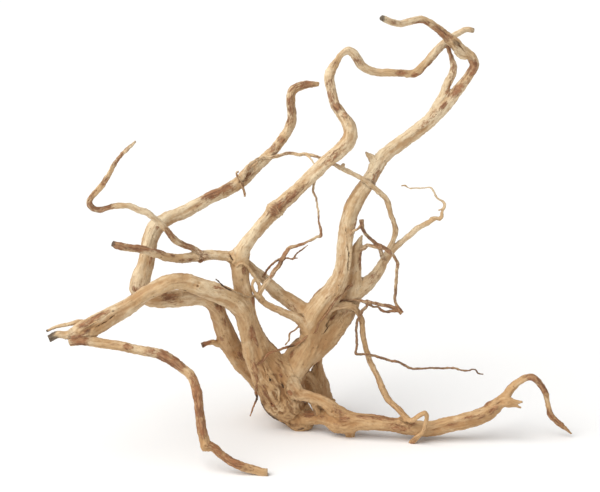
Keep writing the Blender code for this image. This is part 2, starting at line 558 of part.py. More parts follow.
def wood_material():
    """Pale barked wood: the plain colour and gloss of the whole root."""
    wood = bpy.data.materials.new("spiderwood")
    wood.use_nodes = True
    shader = wood.node_tree.nodes["Principled BSDF"]
    shader.inputs["Base Color"].default_value = WOOD_COLOUR
    shader.inputs["Roughness"].default_value = WOOD_ROUGHNESS
    shader.inputs["Metallic"].default_value = 0.0
    return wood


def main():
    for thing in list(bpy.data.objects):
        bpy.data.objects.remove(thing)
    root = join_limbs("spiderwood_root", {**STEMS, **LIMBS, **TWIGS})
    saw_foot(root)
    keep_main_shell(root)
    root.data.shade_smooth()
    root.data.materials.clear()
    root.data.materials.append(wood_material())


main()
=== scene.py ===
# %% [markdown]
# # A spiderwood root
#
# Spiderwood is the dried root of a shrub: one stout stem base that splits into bent limbs, and the
# limbs into thin twigs. The bark has mostly gone. What is left is pale, smooth wood with reddish
# brown rests of bark, and grey ends where twigs broke off.
#
# The solid model already has each limb in its place. This lesson grows a finer skin on the same
# routes, so that limbs flow into each other, and gives it wood, bark, cracks and torn ends.

import math

import bpy
import numpy as np
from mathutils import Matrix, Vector, noise


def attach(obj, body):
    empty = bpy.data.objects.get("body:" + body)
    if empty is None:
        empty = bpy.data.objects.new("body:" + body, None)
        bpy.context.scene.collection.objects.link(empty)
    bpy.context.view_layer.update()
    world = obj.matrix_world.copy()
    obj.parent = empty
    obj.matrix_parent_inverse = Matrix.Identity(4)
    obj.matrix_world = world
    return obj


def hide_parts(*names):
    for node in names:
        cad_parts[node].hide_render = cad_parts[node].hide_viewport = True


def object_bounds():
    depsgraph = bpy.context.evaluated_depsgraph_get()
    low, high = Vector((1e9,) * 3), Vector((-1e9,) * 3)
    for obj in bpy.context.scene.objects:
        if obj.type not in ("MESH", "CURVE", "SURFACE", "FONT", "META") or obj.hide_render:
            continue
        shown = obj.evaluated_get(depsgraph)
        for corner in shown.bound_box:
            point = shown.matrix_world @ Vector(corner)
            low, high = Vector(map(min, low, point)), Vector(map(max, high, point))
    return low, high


SEED = 5
noise.seed_set(SEED)  # vector noise is drawn from the clock without this

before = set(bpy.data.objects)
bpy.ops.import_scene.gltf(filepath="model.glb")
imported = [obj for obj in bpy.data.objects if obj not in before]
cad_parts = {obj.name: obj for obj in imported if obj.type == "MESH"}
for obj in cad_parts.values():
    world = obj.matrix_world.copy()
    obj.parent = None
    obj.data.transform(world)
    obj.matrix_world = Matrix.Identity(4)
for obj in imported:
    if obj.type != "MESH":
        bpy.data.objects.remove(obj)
cad_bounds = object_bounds()
MM = 0.001
print("solid model:", [[round(float(v), 4) for v in corner] for corner in cad_bounds])

# %% [markdown]
# The photograph looks a little down on the root, by about 15 degrees, from about 1.8 metres away.
# The camera goes there first, because the routes after it are given as seen through it. Its lens is
# chosen so that a millimetre at the foot's distance is one picture point.

# %% Camera
SIGHT_TILT = math.radians(15)
SIGHT_DISTANCE = 1800
SIGHT_MIDDLE = 300, 246
FOOT_SEEN = 300, 428
SENSOR_MM = 36
sine, cosine = math.sin(SIGHT_TILT), math.cos(SIGHT_TILT)
sight_height = FOOT_SEEN[1] - SIGHT_MIDDLE[1]
SIGHT_TARGET = np.array([0, sight_height * sine, sight_height * cosine])
SIGHT_RIGHT = np.array([1.0, 0, 0])
SIGHT_UP = np.array([0, sine, cosine])
SIGHT_AWAY = np.array([0, cosine, -sine])

camera_data = bpy.data.cameras.new("camera")
camera_data.sensor_fit = "HORIZONTAL"
camera_data.sensor_width = SENSOR_MM
camera_data.lens = SENSOR_MM * SIGHT_DISTANCE / (2 * SIGHT_MIDDLE[0])
camera = bpy.data.objects.new("camera", camera_data)
bpy.context.scene.collection.objects.link(camera)
camera.location = (SIGHT_TARGET - SIGHT_AWAY * SIGHT_DISTANCE) * MM
camera.rotation_euler = (math.pi / 2 - SIGHT_TILT, 0, 0)
bpy.context.scene.camera = camera
print("camera at", [round(v, 3) for v in camera.location], "lens", round(camera_data.lens, 1))

# %% [markdown]
# The root was photographed on white, in light so soft that it throws hardly a shadow. A very large
# lamp above and to the left does most of it: as a sun with a wide disc it lights the whole floor
# evenly. A weaker one fills from the right, and a pale sky lifts the rest.

# %% Floor, lights and sky
def deselect_all():
    """Leaves nothing selected, because an operator acts on all that is."""
    if bpy.context.object and bpy.context.object.mode != "OBJECT":
        bpy.ops.object.mode_set(mode="OBJECT")
    bpy.ops.object.select_all(action="DESELECT")
    bpy.context.view_layer.objects.active = None


def make_active(thing):
    deselect_all()
    thing.select_set(True)
    bpy.context.view_layer.objects.active = thing


FLOOR_SIZE = 40  # in metres, so that its edge is out of sight
deselect_all()
bpy.ops.mesh.primitive_plane_add(size=FLOOR_SIZE, location=(0, 0, 0))
floor = bpy.context.object
floor.name = "floor"
paper = bpy.data.materials.new("pale_floor")
paper.use_nodes = True
paper_shader = paper.node_tree.nodes["Principled BSDF"]
paper_shader.inputs["Base Color"].default_value = (0.9, 0.9, 0.9, 1)
paper_shader.inputs["Roughness"].default_value = 0.9
paper_shader.inputs["Specular IOR Level"].default_value = 0.1
floor.data.materials.append(paper)


def sun(name, towards, disc, strength, colour):
    """A soft lamp at any distance: where its light goes, how wide it looks, and its strength."""
    lamp_data = bpy.data.lights.new(name, "SUN")
    lamp_data.angle = math.radians(disc)
    lamp_data.energy = strength
    lamp_data.color = colour
    lamp = bpy.data.objects.new(name, lamp_data)
    bpy.context.scene.collection.objects.link(lamp)
    lamp.rotation_euler = Vector(towards).to_track_quat("-Z", "Y").to_euler()


sun("window_lamp", (0.7, 0.45, -1.0), 65, 3.15, (1.0, 0.99, 0.97))
sun("fill_lamp", (-0.9, 0.8, -0.5), 60, 0.2, (0.97, 0.985, 1.0))
SKY_STRENGTH = 0.41
sky = bpy.data.worlds.new("pale_sky")
sky.use_nodes = True
sky.node_tree.nodes["Background"].inputs["Color"].default_value = (1, 1, 1, 1)
sky.node_tree.nodes["Background"].inputs["Strength"].default_value = SKY_STRENGTH
bpy.context.scene.world = sky
bpy.context.scene.view_settings.view_transform = "Standard"

# %% [markdown]
# Each limb follows a route: the places that its middle line passes, with its thickness there. The
# routes are the solid model's own, written as the root is seen: to the right of the view's left
# edge, down from its top edge, how far behind the foot in truth, and half the thickness.

# %% The routes of stems, limbs and twigs
# The stems that carry everything, from the foot upwards
STEMS = {
    "left_stem": [
        (294, 413, 3, 9), (287.5, 404.5, 2, 15.5), (283, 395, 1, 19), (278.5, 381, -3, 18),
        (267.5, 363, -8, 14.8), (258, 347, -12, 11.5), (252, 331, -14, 9.6), (248, 316, -15, 8.8),
        (245.5, 300, -15, 8.3), (241.8, 285, -14, 8.4), (239.6, 270, -13, 8.2),
        (239, 256, -12, 7.6),
    ],
    "right_stem": [
        (296, 412, 3, 9), (287.5, 404, 3, 12.5), (288, 390, 2, 13.5), (291.5, 372, 3, 12.6),
        (299.5, 358, 4.5, 13), (312, 348, 6, 12.6), (322, 338.5, 8, 13.4), (333, 326, 10, 11.8),
        (343, 313, 12, 10.2), (350, 300, 14, 9.2), (353.5, 287, 14, 8), (355, 273, 13, 6.4),
        (355.6, 260, 12, 5.7), (356.3, 250, 11, 5), (359, 242, 10, 3.4), (363, 235, 9, 1),
    ],
    "foot": [
        (283, 411, 4, 8.5), (291, 414.5, 3, 10.5), (302, 418, 0.5, 12.4), (308, 416.5, -3, 7.5),
    ],
    "foot_left_lobe": [(277, 391, 0, 13.5), (277, 400, 4, 11.8), (280.5, 409.5, 6, 9)],
    "back_foot": [
        (319, 348, 13, 4.6), (317.8, 354, 17, 3.7), (318, 362, 22, 3.9), (317.8, 372, 28, 6.2),
        (317, 382, 36, 10), (318, 393, 44, 11.8), (322, 404, 54, 9.6), (323, 411, 61, 8.5),
    ],
}

# The heavy limbs that leave the stems
LIMBS = {
    "left_arm": [
        (278, 396, -6, 12), (269, 384, -12, 13), (261, 370, -16, 11.5), (254.5, 357, -19, 10),
        (250.5, 344, -22, 8.5), (247.5, 328, -26, 7.8), (244, 312, -30, 8.8),
        (233, 300.5, -34, 9.6), (220, 293.5, -40, 9.7), (205, 288.3, -46, 9.5),
        (188, 282.2, -50, 9.2), (172, 282, -55, 8.1), (150, 291.7, -60, 7.6),
        (130, 305.3, -66, 7.8), (110, 316.5, -71, 8.8), (95, 325, -75, 9), (82, 331, -78, 8),
        (73, 334, -80, 5.5),
    ],
    "left_arm_stub": [
        (84, 332, -79, 6), (73, 335, -80, 4), (65, 335.5, -81, 3.6), (57.4, 335.2, -82, 3.5),
        (48.5, 338.4, -84, 3.3),
    ],
    "forward_leg": [
        (69.5, 341.6, -81, 4.4), (83, 340, -82, 4.9), (101, 343, -83, 4.5), (121.6, 346, -84, 4.6),
        (137, 349.5, -85, 4.4), (152, 352, -86, 4.7), (162.4, 355, -88, 4.9),
        (171.6, 361, -90, 4.6), (183, 369.3, -93, 4.8), (190.5, 375.2, -96, 5),
        (195.6, 387, -101, 4.7), (198.3, 401.4, -105, 4.8), (199.9, 416.7, -108, 4.7),
        (202.4, 432, -111, 4.7), (206, 444.5, -113, 4.9), (213, 447.3, -114, 4.3),
        (219.8, 453.5, -116, 4.2), (230, 461, -119, 4), (240, 465.4, -121, 4.1),
        (252.4, 469.3, -122, 4), (261.6, 472.4, -123, 3.9), (267.5, 473, -123, 3.9),
    ],
    "rear_arm": [
        (277, 404, 72, 9), (274, 398, 60, 9.5), (269, 393, 46, 10), (262.5, 387, 34, 8),
        (257.5, 378.5, 27, 8.2), (248.4, 367.9, 20, 8.8), (239.2, 357, 14, 9.2),
        (230.5, 343.7, 6, 9.5), (224, 330, -2, 9.4), (220, 318, -9, 8.6), (214.4, 306, -18, 8.2),
        (205, 298.3, -28, 8), (190, 297, -36, 7.8), (172, 298.5, -40, 7.8), (156, 299.3, -41, 7.6),
        (144.6, 296, -38, 8.6), (139, 287, -36, 9.6), (141.5, 275.5, -32, 9.3),
        (145, 265, -28, 8.6), (147.6, 252, -24, 8.2), (150, 239, -20, 8.5),
        (155.8, 227.5, -15, 8.4), (166, 219.8, -8, 6.9), (184.3, 212.3, 2, 6.1),
        (205.5, 199.8, 12, 5.6), (226.6, 190, 22, 5.6), (240.6, 181.6, 30, 6),
        (248.6, 173.3, 35, 6.2), (257.8, 165.2, 40, 5.7), (266.3, 157.8, 43, 5.5),
        (273.8, 149.8, 46, 5.2), (282, 138.9, 50, 5), (287.5, 131, 53, 5), (291.5, 119, 56, 4.9),
        (290.5, 103, 58, 4.6), (292.4, 92, 60, 4.7), (298, 87.2, 61, 4.7), (305.5, 84.6, 63, 3.5),
        (318.5, 84.5, 66, 2.5),
    ],
    "left_branch": [
        (247, 260, -11, 6), (240, 260, -12, 7.6), (226.5, 256.4, -16, 5.2), (212.4, 255, -22, 4.6),
        (195.6, 256.8, -28, 4.4), (181.6, 258, -34, 4.2), (167.5, 257, -39, 4),
        (156.3, 253.5, -44, 4), (142.3, 249.5, -49, 3.9), (128, 247.5, -54, 4),
        (118, 245.5, -58, 3.8), (112.5, 243.8, -60, 3),
    ],
    "middle_branch": [
        (239.5, 272, -13, 7), (239.2, 260, -13, 7.6), (245, 246.5, -11, 7.2), (257, 230.8, -8, 6.5),
        (269.6, 216, -5, 6.5), (283.8, 201.8, -2, 6.4), (296, 191.5, 0, 6.3), (310, 177.4, 3, 6.2),
        (325.4, 162.5, 6, 6.4), (339, 151.3, 9, 7), (348, 141, 11, 7.4), (350.2, 131.5, 13, 7.2),
        (347.4, 122.3, 15, 6.6), (341, 112.8, 18, 5.4), (335, 103, 21, 5), (331.8, 91, 25, 4.9),
        (329.4, 78, 29, 5.2), (332, 68.5, 32, 4.6), (336.8, 61.3, 34, 3.6), (341.2, 55, 35, 3),
        (347, 50.8, 36, 3.8), (353, 53, 37, 4), (358, 60, 38, 4), (364, 67.3, 40, 4),
        (376.5, 72, 43, 3.6), (395.7, 73, 47, 3.4), (408.5, 73.6, 50, 3.7), (416.3, 71.8, 52, 4.1),
        (426.4, 61.8, 56, 4.1), (436.9, 50, 60, 4.1), (445, 42.6, 63, 3.9), (456.5, 34.4, 66, 3.4),
        (465.8, 29.8, 68, 3.1), (473.5, 31, 70, 2.6),
    ],
    "right_branch": [
        (296, 368, 0, 10.5), (302, 356, 0, 11.6), (310.5, 339, 0, 10), (313.5, 319, -3, 10.6),
        (322.3, 303.5, -5, 10.9), (333.4, 290.5, -5, 9.3), (341, 275, -4, 7.7), (344, 258, -1, 7.2),
        (345.3, 240, 3, 7.6), (347.2, 225, 8, 8), (351.4, 210.3, 13, 8), (357.5, 198.2, 18, 8),
        (367.8, 182.8, 24, 7.7), (377.3, 167, 30, 7.3), (385.5, 155, 34, 7),
        (399.4, 143.5, 38, 6.6), (414, 132.9, 42, 6.4), (429.4, 120.6, 46, 6.5),
        (441.6, 108, 49, 6.8), (451, 98.8, 51, 5.8), (462, 85.3, 52, 4.9), (469.2, 75.5, 51, 4.7),
        (474, 66, 50, 4.7), (471.5, 58, 49, 4.8), (466, 52.6, 48, 5.2), (459, 48.6, 47, 6),
        (452.3, 42, 45, 5.9), (445.2, 34.9, 43, 4.4), (436.5, 27.2, 39, 3.8),
        (427.6, 21.8, 35, 3.5), (419.9, 19.3, 31, 3.4), (409.7, 21.1, 26, 3.2),
        (402, 23.6, 22, 3.4), (393, 22.3, 18, 3.5), (386, 19.2, 14, 3.3), (380.5, 17.4, 11, 2.8),
    ],
    "right_branch_fork": [
        (437, 107, 50, 5), (442.2, 98, 52, 4.6), (445, 90, 54, 4.3), (448.3, 82.3, 55, 4.1),
        (452.2, 73.8, 57, 3.9), (453.6, 66.3, 58, 3.3), (451, 57.4, 60, 2.4), (448, 48.5, 62, 2.2),
        (446, 42, 63, 2.6),
    ],
    "right_fork": [
        (349, 303, 13, 8), (354, 294, 14, 8.5), (363, 287, 16, 8), (372, 279.5, 18, 6.3),
        (379, 270, 20, 5.5), (383.5, 261, 21, 4.6), (388.5, 254.5, 22, 3.8), (394, 249, 23, 3.3),
        (404.6, 239.4, 25, 2.9), (415, 230.5, 27, 2.7), (422, 226, 28, 2.4),
        (427.8, 222.5, 29, 2.2), (433.4, 218.8, 30, 2), (439.5, 219, 31, 1.9),
        (442, 216.5, 31, 1.7), (442.5, 210.6, 32, 1.5), (444.3, 206, 32, 1.4),
        (442.5, 201.5, 33, 1.2), (437, 198.5, 33, 1.1), (434, 193, 34, 1), (430.6, 188, 35, 1),
        (420.8, 187.8, 36, 0.9), (410, 188.5, 37, 0.8), (406, 186.5, 37, 0.8),
        (401, 186.3, 38, 0.7),
    ],
    "ground_branch_arch": [
        (286, 382, -10, 9), (293, 389, -13, 7.5), (300, 394.5, -16, 6), (308, 396.3, -18.5, 5.1),
        (317, 398.8, -20, 4.9), (325, 402.6, -21, 5.3), (333, 408.6, -22, 6.4),
        (341, 414.5, -23, 7.5),
    ],
    "ground_branch": [
        (296, 417, -2, 9), (304, 418, -7, 6.8), (313, 418, -11, 6.3), (325, 417.8, -15, 7.3),
        (336, 419.3, -20, 10), (345, 421, -24, 10.3), (354, 421.5, -27, 9), (363, 421.8, -29, 8),
        (390, 424.4, -32, 7.5), (411, 427.8, -31, 8.4), (430, 429, -33, 7.8), (450, 424, -35, 7.8),
        (470, 419.5, -35, 7.2), (485.5, 414, -33, 6.8), (496, 406.5, -31, 5.6),
        (503.7, 398.5, -30, 4.4), (510.3, 390.3, -29, 3.7), (518.3, 382.2, -28, 3.4),
        (526.4, 377.8, -27, 3.4), (533.4, 378, -26, 3.4), (539.6, 384, -25, 3.4),
        (544.9, 392.3, -24, 3.1), (547.4, 402, -23, 2.6), (549, 410.5, -23, 2.9),
        (553.3, 417.8, -23, 2.9), (562.4, 425.5, -24, 2.4), (572, 434, -25, 1),
    ],
    "cross_branch": [
        (316, 321, 0, 8), (309, 314.5, 2, 8.6), (300, 309, 4, 7.7), (292, 303, 6, 7.2),
        (281, 295.5, 8, 6.4), (273, 288.5, 8, 5.8), (266, 280, 7, 5), (258, 272.5, 4, 4),
        (250, 266, -1, 3.4), (243, 260, -6, 4),
    ],
}

# Thin roots and twigs. Those that reach into the air end in a thin tip
TWIGS = {
    "left_twig": [
        (209, 256, -21, 3.4), (203, 255, -25, 3.4), (192.8, 249, -30, 3.2), (183, 244.9, -35, 3.2),
        (174.5, 239.3, -39, 3.2), (167.5, 230.8, -42, 3.2), (159, 222.4, -44, 3.2),
        (149.3, 214.5, -46, 3), (139.4, 210, -47, 3), (128.2, 206.3, -48, 3), (117, 206.3, -49, 3),
        (108.6, 208, -50, 2.7), (100.2, 209.8, -51, 2.7), (93, 208, -52, 2.8),
        (89.6, 202, -53, 2.8), (93, 196, -54, 2.8), (100.2, 187, -55, 2.7),
        (108.6, 174.7, -57, 2.4), (114.2, 164.5, -59, 2.2), (119.8, 156.5, -60, 2),
        (128.2, 148, -61, 1.8), (136, 141.5, -62, 1.1),
    ],
    "left_arm_twig": [
        (95, 324, -72, 4), (88, 324, -72, 3), (79, 322.4, -72, 2.2), (63.8, 325.6, -74, 2),
        (54.8, 327.6, -75, 1.7), (46.5, 331, -76, 1),
    ],
    "rear_arm_stub": [
        (230, 342, 6, 5), (221, 344, 2, 4.4), (213, 342.6, -2, 3), (206.5, 343.2, -4, 2.4),
        (201.8, 345, -5, 2.6),
    ],
    "crossing_root": [
        (309, 330, -4, 7), (303, 323, -7, 5.6), (297, 318, -10, 4.4), (288, 314, -12, 3.8),
        (280, 310.8, -13, 3.5), (271.5, 307.5, -14, 3.2), (264.5, 303, -15, 3),
        (260, 297, -16, 2.9), (260, 292, -17, 2.6), (262.5, 288, -17, 2.6),
        (266.6, 283.4, -17, 2.6), (270.8, 276.4, -16, 2.4), (274.3, 270, -15, 2.2),
        (278.5, 265, -14, 2.1), (282.7, 258, -13, 2), (286.2, 252, -12, 1.9),
        (289.7, 247.8, -11, 1.8), (295.4, 246, -10, 1.6), (302.4, 244, -9, 1.5),
        (310.8, 240.5, -8, 1.4), (317.8, 237, -6, 1.4), (321.3, 236, -5, 1.6),
        (320.5, 229, -4, 1.2), (319, 222, -3, 1.1), (318, 210, -1, 1.1), (316.5, 199, 1, 1.2),
        (313.2, 191, 4, 1.4), (314, 184, 8, 1.4), (316.5, 177, 12, 1.2), (315, 168, 16, 1.1),
        (311, 160, 20, 1), (307, 155.3, 25, 1.2),
    ],
    "long_vine": [
        (258, 164, 36, 2), (263, 157, 37, 1.8), (270, 157.3, 36, 1.9), (278.6, 155.3, 34, 1.8),
        (288.5, 153, 31, 1.7), (297.7, 154.7, 28, 1.6), (305.4, 154.5, 26, 1.6),
        (313, 156, 24, 1.6), (320, 158.5, 22, 1.6), (332, 163.5, 20, 1.9), (338, 167, 18, 2.1),
        (345, 170.6, 16, 2.3), (355.5, 175.5, 13, 2.4), (364, 180, 13.5, 2.5),
        (371.7, 185.4, 15.5, 2.6), (380, 192.4, 18, 2.7), (385.7, 198.7, 19, 2.7),
        (389, 205.7, 20, 2.7), (391, 214, 21, 2.6), (394, 224.6, 22, 2.8), (394.8, 230, 22, 2.9),
        (393.4, 238.7, 22, 2.8), (390.6, 245.7, 22, 2.7), (387.5, 252, 21, 2.8),
    ],
    "torn_ridge": [
        (241, 180, 22, 2.6), (247.5, 168.5, 27, 2), (256, 160.5, 33, 1.8), (266, 157.5, 37, 1.6),
    ],
    "hooked_rootlet": [
        (245, 185, 25, 2), (241.5, 181, 22, 1.6), (238, 176, 21, 1.4), (237, 172, 21, 1.2),
        (239.5, 171, 21, 0.9),
    ],
    "hanging_rootlet": [
        (242, 184, 24, 2), (243.5, 189, 23, 1.4), (244.5, 193, 23, 1.2), (244, 197, 23, 0.8),
    ],
    "stem_loop": [
        (233, 272, -14, 1.8), (234.5, 269.5, -18, 1.4), (236.4, 267.3, -21, 1.4),
        (239.2, 263.8, -22, 1.4), (243.4, 263, -22, 1.5), (247.6, 266.6, -21, 1.5),
        (251.8, 273, -19, 1.6), (256, 278.5, -18, 1.8), (258.8, 285, -17, 2), (260, 292, -17, 2.2),
    ],
    "stem_loop_return": [
        (258.5, 281, -17, 1.6), (254.7, 279.8, -19, 1.5), (252, 284, -20, 1.5),
        (254, 291, -19, 1.7), (258.5, 296, -17, 2.2),
    ],
    "dark_twig": [
        (261, 299, -16, 1.6), (255.4, 296, -20, 1.3), (251.8, 295.8, -24, 1.1),
        (248.3, 297, -28, 1.1), (244, 295.4, -34, 1), (239.2, 293.4, -42, 1), (232, 291, -52, 0.9),
        (223.6, 285.6, -58, 0.8), (215.2, 279.3, -62, 0.6),
    ],
    "thin_fork": [
        (261.5, 277, 4, 1.8), (264.5, 274, 1, 1.2), (268.7, 268.7, -4, 1), (273.6, 263, -9, 1),
        (277.8, 259.6, -12, 1.1), (281.5, 259, -13, 1.2), (286.2, 258.2, -13, 1),
        (291, 259.2, -13, 0.9), (294.6, 258.9, -13, 0.9), (298.2, 257.8, -13, 0.9),
    ],
    "thin_fork_tip": [
        (293, 259.6, -13, 1), (294.8, 257.5, -13, 0.9), (297.5, 253.2, -14, 0.8),
        (302.4, 249, -15, 0.8), (308, 245.5, -16, 0.7),
    ],
    "arching_root": [
        (315, 321, -4, 5), (322, 316, -6, 4), (331, 309, -7, 3.5), (340, 305.7, -6, 3.4),
        (346.4, 305.3, -4, 3.4), (352.8, 306.8, -1, 3.3), (357.2, 311.5, 1, 3.3),
        (360.8, 318, 2, 3.2), (362.6, 326, 2, 3.2), (363.4, 335.4, 1, 3.1), (366.7, 349.5, 0, 3),
        (372.2, 365.8, -3, 2.9), (379.8, 382, -8, 3), (386.4, 397.2, -14, 3.1),
        (394.2, 406, -20, 3), (401.8, 413, -26, 2.9), (407.5, 420, -31, 3.4),
    ],
    "wrapped_root": [
        (404, 419, -35, 3), (408, 419.5, -40, 2.5), (412, 420.5, -44, 2.3), (416, 418.5, -47, 2.3),
        (420.7, 415.4, -48, 2.3), (425.5, 413.5, -48, 2.3), (427.3, 418, -48, 2.3),
        (424.5, 426, -47, 2.3), (420.7, 433, -45, 2.4), (413.5, 441, -42, 2.8),
        (411, 444.5, -41, 2.8),
    ],
    "angled_twig": [
        (309, 313, -10, 2), (319, 307, -14, 1.2), (330, 304, -11, 1.1), (340, 301, -2, 1.2),
        (349.6, 300.3, 2, 1.3), (359, 300.5, 3, 1.4), (365.5, 301.7, 2, 1.6), (375, 303.3, 1, 1.5),
        (383.4, 305, 0, 1.6), (391, 306.8, -1, 1.8), (397.4, 309.5, -3, 2.4),
        (401.5, 313.5, -4, 2.6),
    ],
    "angled_twig_loop": [
        (367, 302.7, 2, 1.4), (373.2, 306.5, 2, 1.1), (378.3, 307.2, 1, 1.1), (382, 310.4, 0, 1.2),
        (385.9, 311.6, 0, 1.2), (392.3, 311, -1, 1.4), (397, 310.8, -3, 1.8),
    ],
    "standing_twig": [
        (399, 309.5, -4, 2.2), (396.8, 304, -3, 2), (395.2, 299, -2, 2), (395.5, 290.6, -1, 2),
        (395.5, 284.5, 0, 2), (396, 275, 1, 1.9), (396.3, 270, 2, 1.9), (396.8, 263, 3, 1.9),
        (394.5, 258, 3, 1.8), (391, 253, 2, 1.8), (385.9, 249, 0, 1.9), (379.5, 245.5, -1, 1.8),
        (373, 241, -2, 1.6), (366.8, 236, -3, 1.5), (363, 230, -4, 1.5), (361.8, 224.6, -4, 1.7),
        (361.8, 219.7, -4, 2.2),
    ],
    "knobbly_twig": [
        (356.5, 252, 10, 3.4), (361, 248.4, 8, 2.9), (364, 248, 6, 2.6), (368, 245.6, 3, 2.3),
        (373, 246, 1, 2.2), (380, 246.3, -1, 2.2),
    ],
    "nub_link": [
        (361.8, 225, -4, 1.6), (357, 229, -2, 1.3), (353, 232, -1, 1.3), (349.5, 236, 0, 1.4),
    ],
    "short_link": [(379.5, 246, -1, 1.9), (381.2, 252, 9, 1.9), (383, 260, 19, 2.3)],
    "hanging_twig": [
        (367.5, 302, 2, 1.8), (366.8, 306.5, 1, 1.5), (363, 310.5, -3, 1.5),
        (359.8, 315.5, -4, 1.5), (357.2, 321, -4, 1.4), (356.8, 330, -4, 1.2),
        (356.8, 341, -5, 1.2), (355.7, 353, -7, 1.4), (360, 354.6, -7.5, 1.3), (367, 355, -8, 1.2),
        (378, 356.6, -10, 1.2), (389.9, 360.4, -11, 1.3), (400.7, 362.5, -11, 1.3),
        (412.6, 368.5, -11, 1.1), (432, 368, -12, 1), (450, 368, -13, 1), (460, 370, -13, 0.9),
        (467.7, 371, -13, 0.9), (472, 369.8, -13, 0.8), (476, 370, -13, 0.8),
        (478.2, 373, -13, 0.7), (483.8, 373.8, -14, 0.6),
    ],
    "clinging_root": [
        (352, 284, 6, 1.4), (344.5, 290.4, -2, 1.2), (338.9, 296.8, -10, 1.2),
        (333.2, 303.8, -14, 1.2), (328.3, 311.5, -14, 1.2), (322.7, 317.8, -13, 1.2),
        (318, 325, -12, 1.2), (315.2, 331.4, -11, 1.2), (307.5, 336.3, -11, 1.2),
        (299.7, 342, -10, 1.2), (290, 346, -10, 1.2), (283.6, 348.6, -14, 1.2),
        (275.9, 351, -20, 1.2), (271, 352.5, -24, 1.2), (266, 356, -26, 1.2),
        (261.8, 361.6, -27, 1.2), (255.5, 365.8, -27, 1.2), (256.6, 375, -27, 1.2),
        (257.3, 382, -25, 1.2), (255.5, 392.5, -19, 1.1), (256.6, 398, -16, 1),
        (253.4, 408.6, -15, 0.9), (250, 415.6, -15, 0.8),
    ],
    "drooping_rootlet": [
        (300, 325, -8, 1.4), (296.3, 328.5, -9, 0.9), (290.2, 334, -10, 0.9), (289, 340, -11, 0.8),
        (284.6, 345.6, -13, 0.7),
    ],
    "ground_branch_stub": [
        (490, 408, -31, 5.4), (498.5, 404, -33, 4.8), (506.3, 401.2, -35, 4.2),
        (513, 402.3, -37, 3.2), (518, 402, -38, 2), (523.4, 401.4, -39, 1),
    ],
    "ground_branch_thorn": [(508, 403.6, -37, 3.8), (515, 406, -39, 2.3), (521.8, 408, -40, 1)],
    "right_branch_thorn": [
        (375, 161, 31, 5), (370, 157, 29, 3), (366.5, 154.3, 28, 1.8), (365, 152, 27, 0.9),
    ],
    "back_foot_nub": [(324, 401, 46, 4), (331, 400.5, 47, 2.6), (335, 401, 48, 1.6)],
    "fork_thorn": [(444.6, 206.6, 32, 1.4), (441, 209, 31, 0.9), (438, 210.6, 31, 0.6)],
    "knuckle": [(206, 443, -113, 3.8), (205, 448, -114, 3.4), (204.8, 451, -115, 2)],
    "left_branch_knot": [(200, 256.5, -27, 4), (200.5, 260.4, -27, 2.6), (200.5, 262.4, -27, 1.2)],
    "middle_branch_knot": [(273, 208, -5, 6), (278, 212.5, -6, 4.4), (280.5, 215.5, -7, 2.4)],
    "vine_knuckle": [(340, 169, 16, 2.4), (343, 166, 15, 2.2), (344.5, 163.5, 15, 1.2)],
    "hollow_link": [(313, 400, -19, 3.2), (314.6, 406, -17, 2.3), (318, 412.5, -15, 3.4)],
    "ground_knob_left": [(337, 424, -20, 6), (335, 429, -20, 3.6), (334, 432, -20, 1.8)],
    "ground_knob_right": [(349, 426, -25, 6.5), (350, 432, -24, 5), (350.5, 438, -23, 3.4)],
}

# Low ridges on the wood that the solid model leaves out: a web between two stems, and torn slivers
SLIVERS = {
    "stem_web": [(299, 371, 11, 7.5), (306, 381, 23, 9), (311, 391, 32, 10.5)],
    "crown_sliver": [(447, 36, 40, 1.2), (453, 43.5, 39.5, 1.7), (459.5, 53, 41, 1.2)],
    "crown_sliver_low": [(455, 52, 43, 1.2), (461.5, 57.5, 44, 1.6), (469, 58, 45, 0.9)],
    "fork_sliver": [(455, 37, 40, 1.0), (460, 42, 40, 1.4), (467, 52.5, 42.5, 1.0)],
}
ROUTES = {**STEMS, **LIMBS, **TWIGS, **SLIVERS}
print(len(ROUTES), "routes with", sum(len(route) for route in ROUTES.values()), "places")

# %% [markdown]
# A place on a route is seen, not true: what lies nearer the eye looks larger. Each place is put
# back along its line of sight to its real distance, and its thickness shrinks or grows with it.
# A smooth curve through the places then gives a sample for every millimetre or so.

# %% From what is seen to real places
def stand(across, down, back):
    """The real place of a point of a route in millimetres, and how much larger it is than seen."""
    from_left = across - SIGHT_MIDDLE[0]
    from_middle = SIGHT_MIDDLE[1] - down
    per_depth = cosine + from_middle * sine / SIGHT_DISTANCE
    depth = (back - SIGHT_TARGET[1] - from_middle * sine) / per_depth
    growth = 1 + depth / SIGHT_DISTANCE
    seen = (SIGHT_RIGHT * from_left + SIGHT_UP * from_middle) * growth
    return SIGHT_TARGET + seen + SIGHT_AWAY * depth, growth


def seen_at(places):
    """Where real places are seen: to the right and down in the view."""
    offset = places - SIGHT_TARGET
    growth = 1 + offset @ SIGHT_AWAY / SIGHT_DISTANCE
    across = SIGHT_MIDDLE[0] + offset @ SIGHT_RIGHT / growth
    down = SIGHT_MIDDLE[1] - offset @ SIGHT_UP / growth
    return across, down


